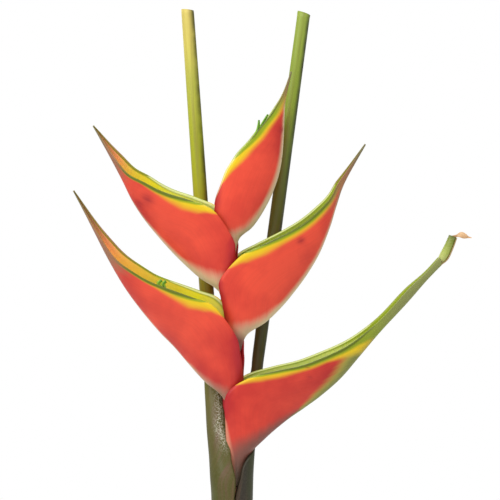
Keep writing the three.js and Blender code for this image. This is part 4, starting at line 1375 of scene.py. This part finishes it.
FLOWERS = (
    Flower("flower_top_front", "bract_top",
           ((0.46, 0.5, -2.2, 1.4), (0.62, 0.78, -2.2, 1.9), (0.71, 1.02, -1.6, 1.2),
            (0.765, 1.4, -1, 0.6))),
    Flower("flower_top_back", "bract_top",
           ((0.46, 0.5, 2.4, 1.4), (0.62, 0.74, 2.4, 1.9), (0.73, 0.96, 2, 1.2),
            (0.8, 1.14, 2, 0.6))),
    Flower("flower_upper_left", "bract_upper_left",
           ((0.34, 0.42, 0, 1.5), (0.5, 0.5, 0, 2.2), (0.66, 0.72, 0, 0.8))),
    Flower("flower_upper_right", "bract_upper_right",
           ((0.34, 0.42, 0, 1.5), (0.5, 0.5, 0, 2.2), (0.66, 0.7, 0, 0.8))),
    Flower("flower_lower_left_front", "bract_lower_left",
           ((0.34, 0.4, -2.6, 1.5), (0.5, 0.6, -2.4, 1.9), (0.61, 0.84, -2.2, 1.2)),
           lobes=(((1.4, 0, -2), (0.6, -0.6, 0), (0.4, -1, 2.6), (2.2, -1.2, 4.4)),
                  ((1.4, 0, -2), (3.4, -1, -0.4), (3.2, -1.4, 2.2), (4.9, -1.4, 3.8))),
           lobe_radius=1.9),
    Flower("flower_lower_left_back", "bract_lower_left",
           ((0.34, 0.4, 2.6, 1.5), (0.5, 0.5, 2.6, 1.9), (0.66, 0.66, 1.6, 0.8))),
    Flower("flower_lower_right_front", "bract_lower_right",
           ((0.3, 0.42, -2.6, 1.5), (0.42, 0.46, -2.6, 1.9), (0.54, 0.62, -1.6, 0.8))),
    Flower("flower_lower_right_back", "bract_lower_right",
           ((0.32, 0.46, 2.6, 1.4), (0.44, 0.56, 2.6, 1.9), (0.57, 0.72, 1.4, 0.8))),
)


# ------------------------------------------------------------------ pot, mix and rhizome


@dataclass
class ClayPot:
    """A hand-finished clay pot with a collar and three drain holes."""

    height: float = 165
    base_radius: float = 64
    rim_radius: float = 96
    wall: float = 6
    floor: float = 9
    collar_height: float = 34
    collar_step: float = 4
    drain_radius: float = 6
    drain_ring: float = 34
    drain_count: int = 3
    segments: int = 180

    def wall_radius(self, height: float) -> float:
        """Outer radius below the collar at a height."""
        at_rim = self.rim_radius - self.collar_step
        return self.base_radius + (at_rim - self.base_radius) * height / self.height

    def bore_radius(self, height: float) -> float:
        """Inner radius at a height."""
        return self.wall_radius(height) - self.wall

    def outline(self) -> np.ndarray:
        """Draws half the pot's section.

        Returns:
            Radius and height from the axis underneath, round the wall, to the axis inside.
        """
        def bend(x: float, z: float, r: float, start: float,
                 stop: float) -> list[tuple[float, float]]:
            """Draws a rounded corner.

            Args:
                x: radius of the corner's centre from the axis.
                z: height of its centre.
                r: its own radius.
                start: where it starts, in degrees.
                stop: where it stops.

            Returns:
                Points round the corner.
            """
            turn = np.radians(np.linspace(start, stop, 7))
            return [(x + r * math.cos(a), z + r * math.sin(a)) for a in turn]

        low = self.height - self.collar_height
        points = [(0.01, 0), (self.base_radius - 2, 0)]
        points += bend(self.base_radius - 2, 2, 2, -80, 0)
        points += [(self.wall_radius(z), z) for z in np.linspace(6, low - 2, 30)]
        points += bend(self.wall_radius(low) + self.collar_step - 2, low + 2.4, 2, -80, 0)
        points += [(self.wall_radius(z) + self.collar_step, z)
                   for z in np.linspace(low + 6, self.height - 3, 9)]
        points += bend(self.rim_radius - 2.2, self.height - 2.2, 2.2, 0, 90)
        points += bend(self.bore_radius(self.height) + 2.2, self.height - 2.2, 2.2, 90, 180)
        points += [(self.bore_radius(z), z)
                   for z in np.linspace(self.height - 6, self.floor + 3, 24)]
        points += bend(self.bore_radius(self.floor) - 3, self.floor + 3, 3, 0, -90)
        points += [(0.01, self.floor)]
        return np.array(points)

    def build(self, material: bpy.types.Material) -> None:
        """Builds and dresses the pot.

        Args:
            material: the fired clay.
        """
        outline = self.outline()
        turn = np.linspace(0, 2 * math.pi, self.segments, endpoint=False)
        throwing = 0.12 * np.sin(outline[:, 1] * 0.9)[:, None] * (outline[:, :1] > 40)
        lean = 0.25 * np.sin(2 * turn + 0.7)[None] * (outline[:, 1:] / self.height)
        radius = np.maximum(outline[:, :1] + throwing + lean * (outline[:, :1] > 1), 0.01)
        grid = np.stack([radius * np.cos(turn), radius * np.sin(turn),
                         np.broadcast_to(outline[:, 1:], (len(outline), self.segments))], axis=-1)
        piece = make_piece("clay_pot", grid)
        for k in range(self.drain_count):
            angle = 2 * math.pi * k / self.drain_count + math.pi / 2
            x, y = self.drain_ring * math.cos(angle), self.drain_ring * math.sin(angle)
            ends = [(x, y, z, self.drain_radius) for z in (-self.floor, 2 * self.floor)]
            drill = make_piece("drill", rod_grid(ends, 2, 40))
            cut = piece.modifiers.new("drain", "BOOLEAN")
            cut.operation, cut.object, cut.solver = "DIFFERENCE", drill, "EXACT"
            mesh = plain_mesh(piece)
            piece.modifiers.clear()
            piece.data = mesh
            bpy.data.objects.remove(drill)
        finish_piece(piece, "pot", material)


@dataclass
class PottingMix:
    """Loose bark, crumbs and perlite over a rough bed, with a hole for the stem."""

    pot: ClayPot
    below_rim: float = 22
    dome: float = 3
    stem_hole: float = 19.8
    gap: float = 0.3
    rings: int = 60
    segments: int = 160

    @property
    def level(self) -> float:
        """The mix's level at the pot's wall."""
        return self.pot.height - self.below_rim

    def surface(self, radius: np.ndarray, turn: np.ndarray) -> np.ndarray:
        """Height of the bed at places given by radius and turn.

        Args:
            radius: distances from the axis.
            turn: angles.

        Returns:
            The heights.
        """
        outer = self.pot.bore_radius(self.level) - self.gap
        rise = self.dome * (1 - ease(2 * self.stem_hole, outer, radius))
        lumps = np.array([[noise.fractal(Vector((r * math.cos(a), r * math.sin(a), 0)) / 9,
                                         1.0, 2.0, 4) for r, a in zip(rr, aa)]
                          for rr, aa in zip(radius, turn)])
        return self.level - 0.9 + rise + 1.1 * lumps

    def build(self, bed: bpy.types.Material, chips: dict[str, bpy.types.Material]) -> None:
        """Builds the bed and scatters the chips.

        Args:
            bed: the fine mix between the chips.
            chips: the material of each kind of chip.
        """
        turn = np.linspace(0, 2 * math.pi, self.segments, endpoint=False)
        bottom = self.pot.floor + self.gap
        outer = self.pot.bore_radius(self.level) - self.gap
        rings = np.linspace(outer, self.stem_hole, self.rings)
        radius = np.broadcast_to(rings[:, None], (self.rings, self.segments))
        angle = np.broadcast_to(turn, radius.shape)
        top = self.surface(radius, angle)
        sides = [(self.stem_hole, self.level - 20.0), (0.01, self.level - 20.5)]
        low = [(0.01, bottom), (self.pot.bore_radius(bottom) - self.gap, bottom)]

        def ring(r: float, z: float) -> np.ndarray:
            """Draws one level ring.

            Args:
                r: its radius.
                z: its height.

            Returns:
                Its points.
            """
            return np.stack([r * np.cos(turn), r * np.sin(turn), np.full_like(turn, z)], axis=-1)

        bed_rings = np.stack([radius * np.cos(angle), radius * np.sin(angle), top], axis=-1)
        grid = np.concatenate([np.stack([ring(*place) for place in low]), bed_rings,
                               np.stack([ring(*place) for place in sides])])
        finish_piece(make_piece("mix_bed", grid), "potting_mix", bed)
        ground = self.ground(bed_rings)
        kinds = (("mix_bark", 5.2, 0.34, 9000.0, 3), ("mix_crumbs", 1.9, 0.7, 90000.0, 7),
                 ("mix_perlite", 1.7, 0.85, 7000.0, 11))
        for name, size, flat, density, seed in kinds:
            piece = scatter_chips(name, ground, size * MM, flat, density, seed, chips[name])
            finish_piece(piece, "potting_mix", chips[name])
        bpy.data.objects.remove(ground)

    def ground(self, rings: np.ndarray) -> bpy.types.Object:
        """Makes the open sheet that the chips are scattered over.

        Args:
            rings: the bed's rings of points.

        Returns:
            The sheet, which is removed after use.
        """
        rows, count = rings.shape[:2]
        index = np.arange(rows * count).reshape(rows, count)[2:-2]
        ahead = np.roll(index, -1, axis=1)
        faces = np.stack([index[:-1], ahead[:-1], ahead[1:], index[1:]], axis=-1).reshape(-1, 4)
        mesh = bpy.data.meshes.new("ground")
        mesh.from_pydata((rings.reshape(-1, 3) * MM).tolist(), [], faces.tolist())
        return stand("ground", mesh)


def scatter_chips(name: str, ground: bpy.types.Object, size: float, flat: float,
                  density: float, seed: int, material: bpy.types.Material) -> bpy.types.Object:
    """Scatters rough chips over a sheet with Geometry Nodes and makes them a plain mesh.

    Args:
        name: the piece's name.
        ground: the sheet they lie on.
        size: the chips' mean length in metres.
        flat: thickness as a share of the length.
        density: chips for each square metre.
        seed: what fixes the random draw.
        material: the chips' material.

    Returns:
        The chips as one mesh object.
    """
    tree = bpy.data.node_groups.new(name, "GeometryNodeTree")
    tree.interface.new_socket("Geometry", in_out="INPUT", socket_type="NodeSocketGeometry")
    inputs = {}
    for label, value in (("Chip size", size), ("Flatness", flat), ("Density", density)):
        socket = tree.interface.new_socket(label, in_out="INPUT", socket_type="NodeSocketFloat")
        socket.default_value = value
        inputs[socket.identifier] = value
    count = tree.interface.new_socket("Seed", in_out="INPUT", socket_type="NodeSocketInt")
    inputs[count.identifier] = seed
    tree.interface.new_socket("Geometry", in_out="OUTPUT", socket_type="NodeSocketGeometry")
    given = add_node(tree, "NodeGroupInput").outputs
    points = add_node(tree, "GeometryNodeDistributePointsOnFaces",
                      {"Mesh": given["Geometry"], "Density": given["Density"],
                       "Seed": given["Seed"]}, distribute_method="RANDOM")
    ball = add_node(tree, "GeometryNodeMeshIcoSphere", None, {"Radius": 0.5, "Subdivisions": 2})
    where = add_node(tree, "GeometryNodeInputPosition")
    rough = add_node(tree, "ShaderNodeTexNoise", {"Vector": where.outputs[0]},
                     {"Scale": 2.3, "Detail": 2.0})
    centred = add_node(tree, "ShaderNodeVectorMath", {0: rough.outputs["Color"]},
                       {1: (0.5, 0.5, 0.5)}, operation="SUBTRACT")
    pushed = add_node(tree, "ShaderNodeVectorMath", {0: centred.outputs[0]},
                      {"Scale": 0.9}, operation="SCALE")
    lump = add_node(tree, "GeometryNodeSetPosition",
                    {"Geometry": ball.outputs["Mesh"], "Offset": pushed.outputs[0]})
    turn, spread, slim = (
        add_node(tree, "FunctionNodeRandomValue", {"Seed": given["Seed"]}, span, data_type=kind)
        for kind, span in (
            ("FLOAT_VECTOR", {0: (-0.5, -0.5, 0.0), 1: (0.5, 0.5, 2 * math.pi)}),
            ("FLOAT", {2: 0.45, 3: 1.5}), ("FLOAT", {2: 0.4, 3: 0.9})))
    length = add_node(tree, "ShaderNodeMath",
                      {0: spread.outputs[1], 1: given["Chip size"]}, operation="MULTIPLY")
    breadth, thick = (
        add_node(tree, "ShaderNodeMath", {0: length.outputs[0], 1: share}, operation="MULTIPLY")
        for share in (slim.outputs[1], given["Flatness"]))
    scale = add_node(tree, "ShaderNodeCombineXYZ",
                     {0: length.outputs[0], 1: breadth.outputs[0], 2: thick.outputs[0]})
    laid = add_node(tree, "GeometryNodeInstanceOnPoints",
                    {"Points": points.outputs["Points"], "Instance": lump.outputs[0],
                     "Rotation": turn.outputs[0], "Scale": scale.outputs[0]})
    real = add_node(tree, "GeometryNodeRealizeInstances", {0: laid.outputs[0]})
    dressed = add_node(tree, "GeometryNodeSetMaterial", {"Geometry": real.outputs[0]},
                       {"Material": material})
    add_node(tree, "NodeGroupOutput", {0: dressed.outputs[0]})
    holder = stand(f"{name}_maker", ground.data)
    maker = holder.modifiers.new("chips", "NODES")
    maker.node_group = tree
    for identifier, value in inputs.items():
        maker[identifier] = value
    mesh = plain_mesh(holder)
    mesh.name = name
    bpy.data.objects.remove(holder)
    return stand(name, mesh)


@dataclass
class Rhizome:
    """The knobbly rhizome under the mix, with its crown and its roots."""

    radius: float = 11
    length: float = 80
    drop: float = 26
    root_count: int = 7
    root_radius: float = 1.8
    crown_radius: float = 14.2

    def build(self, crown_level: float, material: bpy.types.Material) -> None:
        """Builds and dresses the rhizome and its roots.

        Args:
            crown_level: the crown's top.
            material: the corky skin.
        """
        axis, half, r = crown_level - self.drop, self.length / 2, self.radius
        crown = rod_grid([(0, 0, axis - 4, r - 1), (0, 0, axis + 8, self.crown_radius),
                          (0, 0, crown_level - 0.3, self.crown_radius - 1.5)], 30, 40)
        creeping = rod_grid([(-half, 4, axis + 3, 5), (-0.7 * half, 3, axis + 1, r),
                             (-0.35 * half, 1, axis, r - 1.5), (0, 0, axis, r),
                             (0.4 * half, -3, axis + 1, r - 2),
                             (0.65 * half, -6, axis + 7, 5)], 90, 40)
        middle = creeping.mean(axis=1, keepdims=True)
        scars = 1 - 0.05 * np.clip(np.sin(np.linspace(0, 60, 90)), 0, 1)[:, None, None]
        creeping = middle + (creeping - middle) * scars
        grids = [("rhizome_crown", crown), ("rhizome_body", creeping)]
        for k in range(self.root_count):
            angle = 2 * math.pi * (k + 0.35) / self.root_count
            reach, droop = half + 5 * math.sin(5 * k), 3 * math.cos(3 * k)
            rows = [(share * math.cos(angle + turn), share * math.sin(angle + turn),
                     axis - down, size) for share, turn, down, size in (
                         (4, 0, 3, self.root_radius), (0.55 * reach, 0.15, 15, self.root_radius),
                         (0.9 * reach, 0.4, 34 + droop, 0.8 * self.root_radius),
                         (reach, 0.6, 54 + droop, 0.4 * self.root_radius))]
            grids.append((f"root_{k + 1}", rod_grid(rows, 50, 14)))
        for name, grid in grids:
            finish_piece(make_piece(name, grid), "rhizome", material)


# ------------------------------------------------------------------ stage


@dataclass
class Studio:
    """A pale floor, a white surround, soft lights and a long lens."""

    lens_mm: float = 100.0
    sensor_mm: float = 36.0
    framed_mm: float = 310.0
    centre_x_mm: float = 11.2
    centre_above_collar_mm: float = 155.0
    # each light's name, its place from the middle of the view and its size in metres, its watts
    lights: tuple[tuple[str, tuple[float, float, float], float, float], ...] = (
        ("key", (-1.0, -1.0, 0.6), 0.6, 6.6), ("fill", (1.0, -0.9, 0.1), 1.0, 0.6),
        ("top", (-0.1, -0.6, 1.0), 1.0, 9.5), ("back", (-0.3, 1.0, 0.7), 1.0, 7.0))
    surround_as_light: float = 0.55
    floor_radius: float = 1.5
    floor_sides: int = 96

    def build(self, collar: float) -> None:
        """Builds the floor, the surround, the lights and the camera.

        Args:
            collar: the collar's level.
        """
        scene = bpy.context.scene
        scene.view_settings.view_transform = "Standard"
        self.floor()
        self.surround(scene)
        middle = Vector((self.centre_x_mm, 0, collar + self.centre_above_collar_mm)) * MM
        for name, offset, size, power in self.lights:
            data = bpy.data.lights.new(name, "AREA")
            data.energy, data.size = power, size
            lamp = stand(name, data)
            lamp.location = middle + Vector(offset)
            lamp.rotation_euler = (-Vector(offset)).to_track_quat("-Z", "Y").to_euler()
        data = bpy.data.cameras.new("camera")
        data.lens, data.sensor_width = self.lens_mm, self.sensor_mm
        camera = stand("camera", data)
        away = self.framed_mm * MM * self.lens_mm / self.sensor_mm
        camera.location = middle - Vector((0, away, 0))
        camera.rotation_euler = (math.pi / 2, 0, 0)
        scene.camera = camera

    def floor(self) -> None:
        """Builds the round pale floor."""
        mesh = bpy.data.meshes.new("floor")
        ring = [(self.floor_radius * math.cos(a), self.floor_radius * math.sin(a), 0.0)
                for a in np.linspace(0, 2 * math.pi, self.floor_sides, endpoint=False)]
        mesh.from_pydata(ring, [], [list(range(len(ring)))])
        mesh.materials.append(WHITE_PAINT.build())
        stand("floor", mesh)

    def surround(self, scene: bpy.types.Scene) -> None:
        """Makes the surround white to the eye and softer as a light.

        Args:
            scene: the scene it goes in.
        """
        world = bpy.data.worlds.new("surround")
        world.use_nodes = True
        tree = world.node_tree
        tree.nodes.clear()
        seen = add_node(tree, "ShaderNodeLightPath")
        strength = add_node(tree, "ShaderNodeMapRange", {"Value": seen.outputs["Is Camera Ray"]},
                            {"To Min": self.surround_as_light, "To Max": 1.0})
        glow = add_node(tree, "ShaderNodeBackground", {"Strength": strength.outputs[0]},
                        {"Color": linear("#ffffff")})
        add_node(tree, "ShaderNodeOutputWorld", {"Surface": glow.outputs[0]})
        scene.world = world


# ------------------------------------------------------------------ assembly


def main() -> None:
    """Builds every piece in order."""
    logging.basicConfig(level=logging.INFO, format="%(message)s")
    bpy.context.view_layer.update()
    stalk, pot = FlowerStalk(), ClayPot()
    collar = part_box("flower_stalk")[1][2] / MM - stalk.top
    crown_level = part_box("flower_stalk")[0][2] / MM
    mix = PottingMix(pot)

    Studio().build(collar)
    pot.build(TERRACOTTA.build())
    mix.build(PEAT.build(), {name: skin.build() for name, skin in CHIP_SKINS.items()})
    Rhizome().build(crown_level, CORK.build())
    dry = DRY_LEAF.build()
    ScaleLeaf("inner_scale_leaf", 15.4, 72, 200).build(mix.level, collar, dry)
    ScaleLeaf("outer_scale_leaf", 18.1, 34, 20).build(mix.level, collar, dry)
    LEFT_STALK.build(collar, LEFT_SKIN.build())
    RIGHT_STALK.build(collar, RIGHT_SKIN.build())
    stalk.build(collar, FLOWER_STALK_SKIN.build())
    skin = BractSkin().build()
    by_node = {bract.node: bract for bract in BRACTS}
    for bract in BRACTS:
        bract.build(stalk, collar, skin)
    tail = by_node["bract_lower_right"].frames(stalk, collar, np.array([1.0]))
    end = tail["foot"][0] + 0.5 * tail["depth"][0] * tail["up"][0]
    RolledBlade().build(end, BLADE_SKIN.build(), WITHERED.build())
    petal = PETAL_SKIN.build()
    for flower in FLOWERS:
        flower.build(by_node, stalk, collar, petal)


if __name__ == "__main__":
    main()
